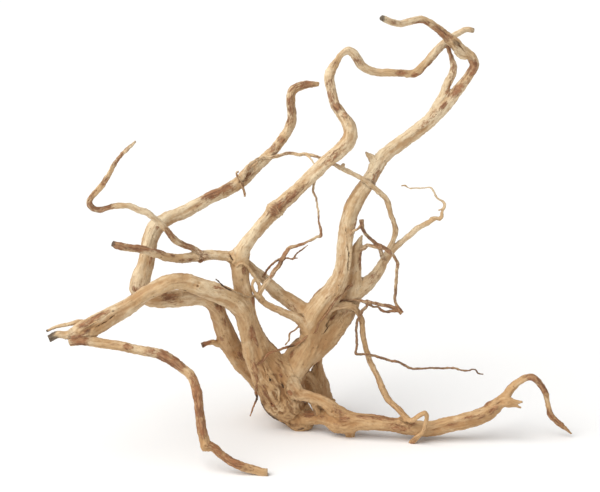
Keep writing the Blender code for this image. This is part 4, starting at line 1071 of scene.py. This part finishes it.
# %% Rests of bark
# For each limb: where a patch is seen, half its length and width in mm, and how much is left
BARK = {
    "forward_leg": (
        (78, 340, 9, 6, 1.0), (112, 344, 6, 2, 0.4), (128, 346.5, 4, 2.6, 1.1),
        (150, 352, 6, 4, 0.7), (164, 356, 8, 7, 0.95), (176, 363, 8, 7, 1.0), (196, 380, 8, 5, 0.8),
        (197, 395, 12, 6, 1.0), (199, 410, 8, 6, 1.0), (202, 428, 9, 6, 1.0), (216, 449, 9, 5, 0.9),
        (232, 462, 12, 6, 1.0), (248, 466, 8, 4, 0.6),
    ),
    "left_arm": (
        (96, 318, 14, 2.6, 0.9), (84, 325, 6, 3, 0.8), (87, 331, 4, 3, 0.7),
        (217, 288, 6, 1.6, 0.8), (252.5, 333, 7, 3.2, 1.2), (256.5, 341.5, 5, 1.6, 1.2),
        (264, 387, 6, 2, 0.6), (266, 395, 6, 3, 0.7), (264, 399, 5, 3, 0.7),
    ),
    "rear_arm": (
        (169, 297, 8, 5, 0.85), (141, 292, 8, 7, 0.55), (178, 303, 8, 3, 0.4),
        (224, 321, 6, 2.5, 0.7), (221.5, 338.5, 3, 2.2, 1.0), (219, 307, 6, 3.5, 1.0),
        (241, 356, 6, 3, 0.8), (230, 344, 5, 3, 0.3), (212, 194, 12, 4.5, 1.0),
        (226, 188, 9, 5, 0.9), (200, 204, 10, 3, 0.4), (246, 175, 9, 5, 0.6), (274, 149, 6, 6, 0.7),
        (281, 140, 4, 4, 0.8), (290, 120, 7, 4, 0.6), (291, 105, 12, 5, 0.75), (294, 88, 8, 5, 0.6),
        (306, 84, 8, 5, 0.9), (150.5, 261, 4, 1.4, 1.2), (157, 228, 2.2, 1.2, 1.1),
        (135, 289, 3, 2, 1.0),
    ),
    "left_branch": (
        (118, 245.5, 9, 7, 1.0), (138, 247.5, 14, 3.6, 1.0), (158, 251, 9, 2.6, 0.8),
        (172, 255, 3, 1.8, 0.8), (182, 260, 3, 1.4, 0.8), (190, 260, 3, 1.4, 0.7),
        (201, 260, 3.5, 2.6, 1.0),
    ),
    "left_twig": (
        (203, 254, 8, 5, 0.7), (188, 247, 10, 5, 0.8), (170, 234, 8, 5, 0.8), (104, 209, 8, 5, 0.9),
        (92, 206, 8, 5, 0.8), (90, 198, 8, 5, 0.6), (105, 181, 6, 4, 0.7), (118, 159, 10, 4, 0.7),
        (127, 149, 5, 4, 0.5),
    ),
    "middle_branch": (
        (276, 209, 9, 5, 1.0), (290, 198, 12, 4, 0.8), (301, 187, 10, 3.5, 0.5),
        (334, 156, 14, 4, 0.6), (342, 148, 8, 4, 0.4), (336, 107, 5, 4, 1.0),
        (331, 95, 8, 3.5, 0.7), (329, 84, 4, 4, 0.6), (345, 115, 4, 3, 0.7), (334, 64, 6, 3, 0.45),
        (357, 61, 6, 4, 0.6), (402, 73, 6, 2.6, 0.9), (415, 75, 3.5, 2.2, 1.1),
        (427, 67.5, 10, 2, 1.0), (438, 55, 9, 2, 0.7),
    ),
    "left_stem": (
        (252, 301, 5, 2, 1.1), (243.5, 270, 5, 2.2, 1.0), (253, 313, 4, 1.6, 0.6),
        (288.6, 391.5, 2.6, 1.9, 1.6), (262, 346, 4, 1.2, 0.4), (280.5, 375, 2, 1.5, 1.2),
        (278, 365, 4, 1.6, 0.7), (281, 362, 2.5, 1, 0.6), (268, 406, 8, 4, 0.7),
        (274, 402.5, 3, 2, 1.2),
    ),
    "foot": ((296, 425, 8, 3, 0.6),),
    "back_foot": ((317, 362, 7, 1.6, 0.7),),
    "ground_branch": (
        (310, 414, 8, 4, 0.9), (322, 417, 6, 3, 0.6), (340, 414, 6, 3, 0.7),
        (344, 419, 5, 3.5, 0.8), (336, 425, 5, 3, 0.5), (366, 417, 12, 2.8, 0.8),
        (385, 418, 14, 3, 0.85), (398, 427, 12, 4, 0.75), (410, 424, 6, 3, 0.7),
        (430, 430, 8, 2.5, 0.3), (452, 425, 6, 2.5, 0.6), (470, 418, 5, 2.5, 0.8),
        (482, 417, 4, 2.5, 0.6), (494, 409, 7, 2.5, 0.9), (487, 404.5, 7, 2, 0.8),
        (534, 378, 9, 5, 1.0), (543, 389, 8, 5, 1.0), (550, 414, 6, 4, 1.0), (558, 422, 8, 4, 0.8),
        (568, 430, 6, 3, 0.6),
    ),
    "right_branch": (
        (293, 354, 4, 2.4, 0.8), (443, 106, 4.5, 2.2, 1.1), (424, 124, 8, 3, 0.6),
        (434, 114, 10, 5, 0.45), (457, 90, 9, 3.6, 1.0), (466, 79, 10, 6, 0.5),
        (471, 60, 6, 4, 0.5), (472, 67, 9, 6, 1.0), (376, 176, 10, 3, 0.8), (380, 170, 8, 3, 0.5),
        (359, 214, 12, 2.4, 0.6), (355, 225, 10, 2.4, 0.6), (439, 32, 10, 3.6, 1.1),
        (421, 22.5, 10, 2, 1.0), (394, 22.5, 4, 2.2, 0.7), (447, 36, 6, 5, 0.8),
        (341, 272, 8, 3, 0.4), (330, 295, 9, 4, 0.3),
    ),
    "right_branch_fork": ((448, 90, 7, 2, 0.9), (453, 70, 12, 4, 0.5), (449, 52, 9, 4, 0.9)),
    "right_stem": ((360, 258, 11, 2.2, 1.0), (344, 313, 9, 4, 0.4), (333, 318, 8, 1.6, 0.7)),
    "right_fork": ((374, 277, 7, 4, 0.6), (384, 262, 8, 3, 0.3)),
    "ground_branch_arch": ((335, 408, 5, 3, 0.5),),
    "crossing_root": (
        (275, 270, 12, 4, 0.7), (284, 256, 10, 4, 1.0), (300, 245, 12, 4, 0.7),
        (319, 225, 14, 4, 0.8), (315, 195, 8, 3, 0.6),
    ),
    "cross_branch": ((266, 281, 6, 3, 0.5), (292, 306, 7, 3, 0.5)),
    "long_vine": ((284, 154, 14, 3, 0.6), (326, 161, 12, 3, 0.7), (394, 228, 10, 3, 0.4)),
    "thin_fork": ((280, 260, 14, 3, 0.8),),
    "dark_twig": ((223, 285, 10, 3, 1.0),),
    "rear_arm_stub": ((205, 343.5, 5, 3, 1.3),),
    "standing_twig": (
        (396, 262, 18, 2, 0.7), (396, 295, 14, 2, 0.7), (380, 246, 20, 4, 1.0),
        (363, 226, 10, 4, 0.8),
    ),
    "angled_twig": ((395, 309, 14, 4, 1.0), (370, 303, 14, 3, 0.6), (340, 301, 16, 3, 0.3)),
    "angled_twig_loop": ((385, 311, 16, 3, 1.0),),
    "hanging_twig": (
        (378, 357, 16, 3, 0.7), (400, 363, 12, 3, 0.9), (357, 335, 26, 3, 0.6),
        (450, 369, 26, 3, 0.5),
    ),
    "clinging_root": (
        (290, 346, 12, 3, 0.9), (256, 372, 14, 3, 0.7), (254, 408, 12, 3, 0.9),
        (330, 310, 16, 3, 0.5),
    ),
    "drooping_rootlet": ((290, 336, 14, 3, 0.5),),
    "hooked_rootlet": ((239, 175, 8, 3, 0.4),),
    "hanging_rootlet": ((244, 192, 8, 3, 0.6),),
    "wrapped_root": ((413, 441, 5, 4, 0.6),),
}
# The same for dark places: painted shade in crevices, cracks and slits, a darker bottom of the
# foot, and dark knots and weathered twigs
DARK_AND_SHADE = {
    "foot_left_lobe": ((264.5, 403, 5, 3.2, 0.9),),
    "left_stem": (
        (267, 410.5, 6, 4, 1.2), (273.5, 416.5, 6, 4, 1.3), (303, 408, 4, 2.6, 0.9),
        (278, 411, 3, 1, 0.5), (282, 385, 2.6, 0.9, 0.9), (273, 402.6, 1.2, 1.4, 0.6),
        (242, 280, 2, 1.6, 0.4),
    ),
    "foot": ((283, 421, 7, 3.2, 1.3), (292, 426.5, 3, 1.6, 1.0), (301, 427, 4, 1.2, 0.7)),
    "right_stem": ((301, 406, 4, 2.6, 0.9), (285, 357, 1.8, 1.2, 0.8), (301.5, 385.5, 2, 1.2, 0.6)),
    "back_foot": (
        (310, 407, 5, 4, 1.1), (314, 364, 5, 1.8, 0.9), (312.5, 370, 3, 1.4, 0.8),
        (312, 404, 5, 3, 1.0),
    ),
    "ground_branch_arch": ((303, 403.5, 4, 1.6, 0.9), (304, 401, 5, 1.4, 0.8)),
    "left_arm": (
        (269.6, 379.5, 1.2, 1.0, 0.8), (185, 290, 1.2, 1.2, 0.8), (198, 286.5, 1.0, 1.0, 0.4),
        (113, 311, 1.5, 1.2, 0.6), (88, 331, 3, 2, 0.5),
    ),
    "stem_web": ((304.5, 377, 1.3, 1.2, 1.0),),
    "hollow_link": ((314, 410, 4, 1.6, 0.5),),
    "rear_arm": ((216, 305, 5, 1.5, 0.5),),
    "right_branch": ((457, 44, 6, 3, 0.5),),
    "middle_branch": ((348, 124, 1.2, 1.2, 0.5),),
    "hanging_twig": ((400, 363, 8, 2, 0.4), (375, 356, 14, 2, 0.3), (470, 371, 14, 2, 0.35)),
    "angled_twig_loop": ((384, 311, 10, 2, 0.4),),
    "dark_twig": ((218, 281, 9, 2, 0.8), (228, 288.5, 5, 2, 0.6)),
    "thin_fork": ((284, 263, 16, 2, 0.5),),
    "thin_fork_tip": ((300, 253, 12, 2, 0.4),),
    "clinging_root": ((291, 347.5, 8, 2, 0.8), (256, 398, 5, 2, 0.9)),
    "crossing_root": ((283, 260, 9, 2, 0.35),),
    "rear_arm_stub": ((202.5, 344.5, 3, 3, 0.5),),
    "ground_branch_thorn": ((520, 407, 3, 2, 0.4),),
}
# Thin wood that has kept its bark from end to end, and how much of it
BARKED = {
    "dark_twig": 0.2, "thin_fork": 0.9, "thin_fork_tip": 0.8, "clinging_root": 0.75,
    "angled_twig": 0.75, "angled_twig_loop": 0.8, "standing_twig": 0.4, "hanging_twig": 0.7,
    "hooked_rootlet": 0.6, "hanging_rootlet": 0.6, "short_link": 0.5, "knobbly_twig": 0.5,
    "drooping_rootlet": 0.5, "arching_root": 0.3, "nub_link": 0.4, "torn_ridge": 0.35,
}
CORE, FADE = 1.5, 0.9  # a patch is whole to about half its size, and ends past one and a half


def patches(points, table):
    """How much of a table's patches lies on each point."""
    amount = np.zeros(len(points))
    for name, rows in table.items():
        for across, down, length, width, much in rows:
            gap = dot_gap(points, name, across, down, length, width)
            amount = np.maximum(amount, much * np.clip(CORE - FADE * gap, 0, 1))
    return amount


print("patches:", sum(map(len, BARK.values())), "of bark,", sum(map(len, DARK_AND_SHADE.values())), "dark")

# %% [markdown]
# All relief is measured on the smooth skin and added up before any point moves out of the wood.
# What the finish has to know is stored with the points as named values: where bark is left, where
# the wood is dark or painted with shade, where it is grey, where limbs meet, and the way along the
# grain.

# %% Cracks, knots and bark on a skin
FAINT_RATE = 0.22  # a crack fades and deepens again along its way
RIM_MM, RIM_WIDTH = 0.55, 0.8  # the rim round a dead knot
PIT_MM, PIT_SHARE = 1.0, 0.55  # the pit inside it, and how much of the knot it takes
BARK_LENGTH, BARK_STRETCH, BARK_LEVEL = 26, 3, 0.16  # the size and amount of chance patches
BARK_MM = 0.3  # how thick it is


def cut_cracks(points, growth):
    """Cuts the cracks into the skin; gives how much of a crack is at each point, as painted shade.
    """
    crack_shade = np.zeros(len(points))
    faint = np.clip(0.85 + 0.9 * noise_at(points * FAINT_RATE, 11), 0.4, 1)
    for name, width, depth, line in CRACKS:
        gap, share = line_gap(points, name, line)
        taper = np.clip(6 * share * (1 - share), 0.15, 1)
        groove = faint * taper * np.exp(-((gap / (width * taper)) ** 2))
        growth -= depth * groove
        crack_shade = np.maximum(crack_shade, groove)
    return crack_shade


def raise_knots(points, growth):
    """Raises a rim round each dead knot and sinks its middle."""
    for name, across, down, size in KNOTS:
        gap = dot_gap(points, name, across, down)
        growth += RIM_MM * np.exp(-(((gap - size) / RIM_WIDTH) ** 2))
        growth -= PIT_MM * np.exp(-((gap / (PIT_SHARE * size)) ** 2))


def bark_at(points, out, names, lengthwise):
    """How much bark is left: drawn patches, barked twigs, and chance on the far side."""
    bark = np.maximum(patches(points, BARK), [BARKED.get(name, 0) for name in names])
    far = np.clip(0.25 - out @ -SIGHT_AWAY, 0, 0.5) * 2
    slow = noise_at(lengthwise / (BARK_LENGTH / BARK_STRETCH), 9)
    return np.maximum(bark, far * np.clip(0.5 + (slow - BARK_LEVEL) * 4, 0, 1))


print("bark stands %.1f mm proud of the wood" % BARK_MM)

# %% Carve both skins
INSIDE = 0.02  # the skins stay this far inside the box of the solid model, in millimetres


def set_value(piece, name, values):
    layer = piece.data.attributes.new(name, "FLOAT", "POINT")
    layer.data.foreach_set("value", values.astype(np.float32))


def carve(piece, wood, with_lines):
    """Gives a skin its relief, and the values that its finish reads."""
    points, out, nearest, meeting = flow_together(piece, wood, 1 if with_lines else 0)
    along, turn, radius = on_limb(points, wood, nearest)
    owner = wood.owner[nearest]
    growth, crease = swelling(points, wood, nearest, meeting)
    # dark places: painted shade in crevices and slits, and dark wood
    deep = patches(points, DARK_AND_SHADE)
    crack_shade = cut_cracks(points, growth)
    raise_knots(points, growth)
    lengthwise = round_and_along(along, turn, radius, owner, BARK_STRETCH)
    bark = bark_at(points, out, wood.names_at(nearest), lengthwise)
    growth += BARK_MM * np.minimum(radius / FULL_RADIUS, 1) * np.clip((bark - 0.5) * 4, 0, 1)
    points += out * growth[:, None] + wander(points, radius)
    points, grey = tear(points, wood, nearest)
    low, high = (np.array(corner) / MM for corner in cad_bounds)
    low[2] -= REACH  # the saw takes the underside
    set_points(piece, np.clip(points, low + INSIDE, high - INSIDE))
    pattern = round_and_along(along, turn, radius, owner, 1)
    grain = piece.data.attributes.new("grain", "FLOAT_VECTOR", "POINT")
    grain.data.foreach_set("vector", pattern.astype(np.float32).ravel())
    set_value(piece, "bark", bark)
    # dark wood, with painted shade in crevices and cracks
    set_value(piece, "dark", np.clip(deep + 0.8 * crack_shade, 0, 1))
    set_value(piece, "grey", grey)
    set_value(piece, "meeting", np.minimum(meeting * 2, 1))
    set_value(piece, "crease", crease)
    set_value(piece, "relief", growth)
    print(piece.name, "bark on %.0f %% of it" % (100 * (bark > 0.5).mean()))


carve(stout_wood, stout_rows, True)
carve(twigs, twig_rows, False)

# %% [markdown]
# The foot is sawn off level, and so are the root ends that carry the weight. The stout skin is also
# parted level above the stem base, because its mesh is heavy. Both halves share the points of the
# cut, and its rim is a sharp edge, so that the smooth shading runs across it unchanged.

# %% Saw the foot and part the skin
PART_HEIGHT = 0.128


def saw(piece, height, keep_above):
    """Cuts a piece off level and closes the cut with a face that has a sharp rim."""
    make_active(piece)
    bpy.ops.object.mode_set(mode="EDIT")
    bpy.ops.mesh.select_mode(type="EDGE")
    bpy.ops.mesh.select_all(action="SELECT")
    bpy.ops.mesh.bisect(
        plane_co=(0, 0, height), plane_no=(0, 0, 1), clear_inner=keep_above,
        clear_outer=not keep_above, use_fill=False, threshold=1e-6,
    )
    bpy.ops.mesh.select_all(action="DESELECT")
    bpy.ops.mesh.select_non_manifold(
        extend=False, use_wire=False, use_multi_face=False, use_non_contiguous=False,
        use_verts=False,
    )
    bpy.ops.mesh.mark_sharp()
    bpy.ops.mesh.fill_holes(sides=0)
    bpy.ops.object.mode_set(mode="OBJECT")


saw(stout_wood, INSIDE * MM, True)
make_active(stout_wood)
bpy.ops.object.duplicate()
root_base = bpy.context.object
root_base.name = root_base.data.name = "root_base"
saw(root_base, PART_HEIGHT, False)
branches = stout_wood
branches.name = branches.data.name = "branches"
saw(branches, PART_HEIGHT, True)
pieces = [root_base, branches, twigs]
for piece in pieces:
    make_active(piece)
    bpy.ops.object.shade_smooth()
    piece.data.materials.clear()
    triangles = sum(len(face.vertices) - 2 for face in piece.data.polygons)
    print(piece.name, triangles, "triangles, lowest point at",
          round(min(v.co.z for v in piece.data.vertices) / MM, 2), "mm")

# %% [markdown]
# A finish is a net of nodes. To keep its sums readable, a small class wraps a socket, so that an
# expression such as 1 - mask adds the Math nodes for it, and one method adds every other node.

# %% Shader maths
class Value:
    """A number that changes over the surface: sums on it add Math nodes."""

    def __init__(self, finish, socket):
        self.finish = finish
        self.socket = socket

    def maths(self, operation, other):
        node = self.finish.node("ShaderNodeMath", {"operation": operation}, [self, other])
        return Value(self.finish, node.outputs[0])

    def __add__(self, other):
        return self.maths("ADD", other)

    def __sub__(self, other):
        return self.maths("SUBTRACT", other)

    def __rsub__(self, other):
        return (self * -1) + other

    def __mul__(self, other):
        return self.maths("MULTIPLY", other)

    __radd__ = __add__
    __rmul__ = __mul__

    def between(self, low, high):
        """0 below low, 1 above high, smooth in between."""
        node = self.finish.node(
            "ShaderNodeMapRange",
            {"interpolation_type": "SMOOTHSTEP"},
            {"Value": self, "From Min": low, "From Max": high},
        )
        return Value(self.finish, node.outputs["Result"])


class Finish:
    """A material and the nodes that feed its shader."""

    def __init__(self, name):
        self.material = bpy.data.materials.new(name)
        self.material.use_nodes = True
        self.tree = self.material.node_tree
        self.shader = self.tree.nodes["Principled BSDF"]

    def feed(self, socket, value):
        if isinstance(value, Value):
            self.tree.links.new(value.socket, socket)
        else:
            socket.default_value = value

    def node(self, kind, settings=None, inputs=None):
        """Adds a node: its settings first, then the values or links of its sockets."""
        node = self.tree.nodes.new(kind)
        for key, value in (settings or {}).items():
            setattr(node, key, value)
        rows = inputs.items() if isinstance(inputs, dict) else enumerate(inputs or [])
        for key, value in rows:
            self.feed(node.inputs[key], value)
        return node

    def attribute(self, name, output="Fac"):
        node = self.node("ShaderNodeAttribute", {"attribute_name": name})
        return Value(self, node.outputs[output])

    def scaled(self, vector, factors):
        node = self.node("ShaderNodeVectorMath", {"operation": "MULTIPLY"}, [vector, factors])
        return Value(self, node.outputs["Vector"])

    def shifted(self, vector, other, amount):
        """A vector pushed about by a coloured noise, to make a pattern wander."""
        node = self.node(
            "ShaderNodeVectorMath", {"operation": "MULTIPLY_ADD"}, [other, (amount,) * 3, vector]
        )
        return Value(self, node.outputs["Vector"])

    def noise(self, vector, scale, detail=2.0, rough=0.5, output="Fac"):
        inputs = {"Vector": vector, "Scale": scale, "Detail": detail, "Roughness": rough}
        return Value(self, self.node("ShaderNodeTexNoise", None, inputs).outputs[output])

    def colour_mix(self, factor, first, second, blend="MIX"):
        settings = {"data_type": "RGBA", "blend_type": blend}
        node = self.node("ShaderNodeMix", settings, {"Factor": factor})
        sockets = [socket for socket in node.inputs if socket.type == "RGBA"]
        self.feed(sockets[0], first)
        self.feed(sockets[1], second)
        result = next(socket for socket in node.outputs if socket.type == "RGBA")
        return Value(self, result)

    def bump(self, height, distance, strength):
        inputs = {"Height": height, "Distance": distance, "Strength": strength}
        return Value(self, self.node("ShaderNodeBump", None, inputs).outputs["Normal"])


def srgb(red, green, blue):
    """A colour as a picture program shows it, made linear for the shader."""
    parts = [part / 255 for part in (red, green, blue)]
    return *(
        part / 12.92 if part <= 0.04045 else ((part + 0.055) / 1.055) ** 2.4 for part in parts
    ), 1.0


print("middle grey is %.3f to a shader" % srgb(128, 128, 128)[0])

# %% [markdown]
# Bare wood: a pale tan that drifts slowly, with darker streaks and fine fibres along each limb,
# pores and specks, and a deeper tone towards the bottom; painted shade darkens every hollow and
# crease. On it lie the rests of bark, reddish brown with frayed edges, and the grey of old breaks.

# %% The finish of the wood
PALE = srgb(228, 208, 174)
TAN = srgb(202, 170, 128)
HONEY = srgb(176, 135, 90)
# also the colour of the painted shade between gnarled ridges
STREAK_AND_SHADE = srgb(140, 102, 66)
# multiplied in towards the bottom, which makes the wood darker there
BOTTOM_TONE = srgb(237, 221, 202)
BARK_LIGHT = srgb(180, 137, 98)
BARK_RED = srgb(150, 98, 62)
BARK_DARK = srgb(98, 60, 39)
SPECK = srgb(92, 62, 40)
# the colour of painted shade in crevices and cracks, and of dark weathered wood
CREVICE = srgb(58, 38, 26)
OLD_GREY = srgb(98, 90, 78)

wood = Finish("pale_root_wood")
place = Value(wood, wood.node("ShaderNodeTexCoord").outputs["Object"])
up = Value(wood, wood.node("ShaderNodeSeparateXYZ", None, [place]).outputs["Z"])
grain = wood.attribute("grain", "Vector")
bark_left, dark, grey = (wood.attribute(name) for name in ("bark", "dark", "grey"))
single = 1 - wood.attribute("meeting")
relief, crease = wood.attribute("relief"), wood.attribute("crease")

drift = wood.noise(place, 24, 2)
cloud = wood.noise(place, 95, 3, 0.6)
wave = wood.noise(place, 120, 1, output="Color")
fibre_way = wood.shifted(grain, wave, 2.6)
streaks = wood.noise(wood.scaled(fibre_way, (0.55, 0.55, 0.04)), 1, 3, 0.6)
fibres = wood.noise(wood.scaled(fibre_way, (2.4, 2.4, 0.17)), 1, 2, 0.6)
mottle = wood.noise(wood.scaled(fibre_way, (0.42, 0.42, 0.16)), 1, 4, 0.65)
blotch = wood.noise(wood.scaled(fibre_way, (0.26, 0.26, 0.1)), 1, 3, 0.55)
specks = wood.noise(place, 430, 2, 0.5)

# darker towards the bottom of the root
low = up.between(0.19, 0.04)
colour = wood.colour_mix((drift + cloud * 0.6 + low * 0.2).between(0.62, 1.0), PALE, TAN)
colour = wood.colour_mix(mottle.between(0.48, 0.7) * 0.55, colour, HONEY)
colour = wood.colour_mix(streaks.between(0.48, 0.74) * single * 0.55, colour, STREAK_AND_SHADE)
colour = wood.colour_mix(fibres.between(0.52, 0.8) * single * 0.35, colour, STREAK_AND_SHADE)
colour = wood.colour_mix(streaks.between(0.5, 0.3) * single * 0.35, colour, PALE)
# painted shade: wood that lies low in its relief, in cracks, pits and flutes, is darkened
hollow_shade = relief.between(0.3, -1.2)
colour = wood.colour_mix(hollow_shade * 0.75, colour, HONEY)
# painted shade between the ridges of gnarled wood
colour = wood.colour_mix(crease.between(0.05, 0.9) * 0.65, colour, STREAK_AND_SHADE)
# darker towards the bottom
colour = wood.colour_mix(low * 0.6, colour, BOTTOM_TONE, "MULTIPLY")
colour = wood.colour_mix(blotch.between(0.56, 0.68) * 0.22, colour, BARK_LIGHT)
colour = wood.colour_mix(specks.between(0.67, 0.76) * 0.8, colour, SPECK)

fray = wood.noise(wood.scaled(fibre_way, (0.55, 0.55, 0.2)), 1, 5, 0.72)
bark = (bark_left + (fray - 0.5) * 2.6).between(0.28, 0.86)
bark_tone = wood.colour_mix(mottle.between(0.36, 0.56), BARK_LIGHT, BARK_RED)
bark_tone = wood.colour_mix(streaks.between(0.42, 0.66) * 0.8, bark_tone, BARK_DARK)
bark_tone = wood.colour_mix(cloud.between(0.55, 0.72) * 0.5, bark_tone, BARK_DARK)
bark_tone = wood.colour_mix(fibres.between(0.55, 0.75) * 0.5, bark_tone, BARK_DARK)
colour = wood.colour_mix(bark * blotch.between(0.15, 0.42) * 0.92, colour, bark_tone)

old = (grey + cloud * 0.5 - 0.25).between(0.1, 0.7)
old_tone = wood.colour_mix(fibres.between(0.4, 0.6), OLD_GREY, CREVICE)
colour = wood.colour_mix(old * 0.9, colour, old_tone)
# dark wood, and painted shade in crevices and cracks
deep = (dark + cloud * 0.7 - 0.35).between(0.2, 0.8)
colour = wood.colour_mix(deep * 0.85, colour, CREVICE)

shine = 0.6 + fibres * 0.25 - bark * 0.08
height = fibres * 0.35 + streaks * 0.4 + cloud * 0.3 + bark * 0.3 - deep * 0.5
wood.feed(wood.shader.inputs["Base Color"], colour)
wood.feed(wood.shader.inputs["Roughness"], shine)
wood.feed(wood.shader.inputs["Normal"], wood.bump(height, 0.0012, 0.85))
wood.shader.inputs["Specular IOR Level"].default_value = 0.35
for piece in pieces:
    piece.data.materials.append(wood.material)
print("finish:", len(wood.tree.nodes), "nodes")

# %% [markdown]
# All three skins stand for the one node of the solid model and move with its only body.

# %% Tie the pieces to the solid model
for piece in pieces:
    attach(piece, "root")
    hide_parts("spiderwood_root")
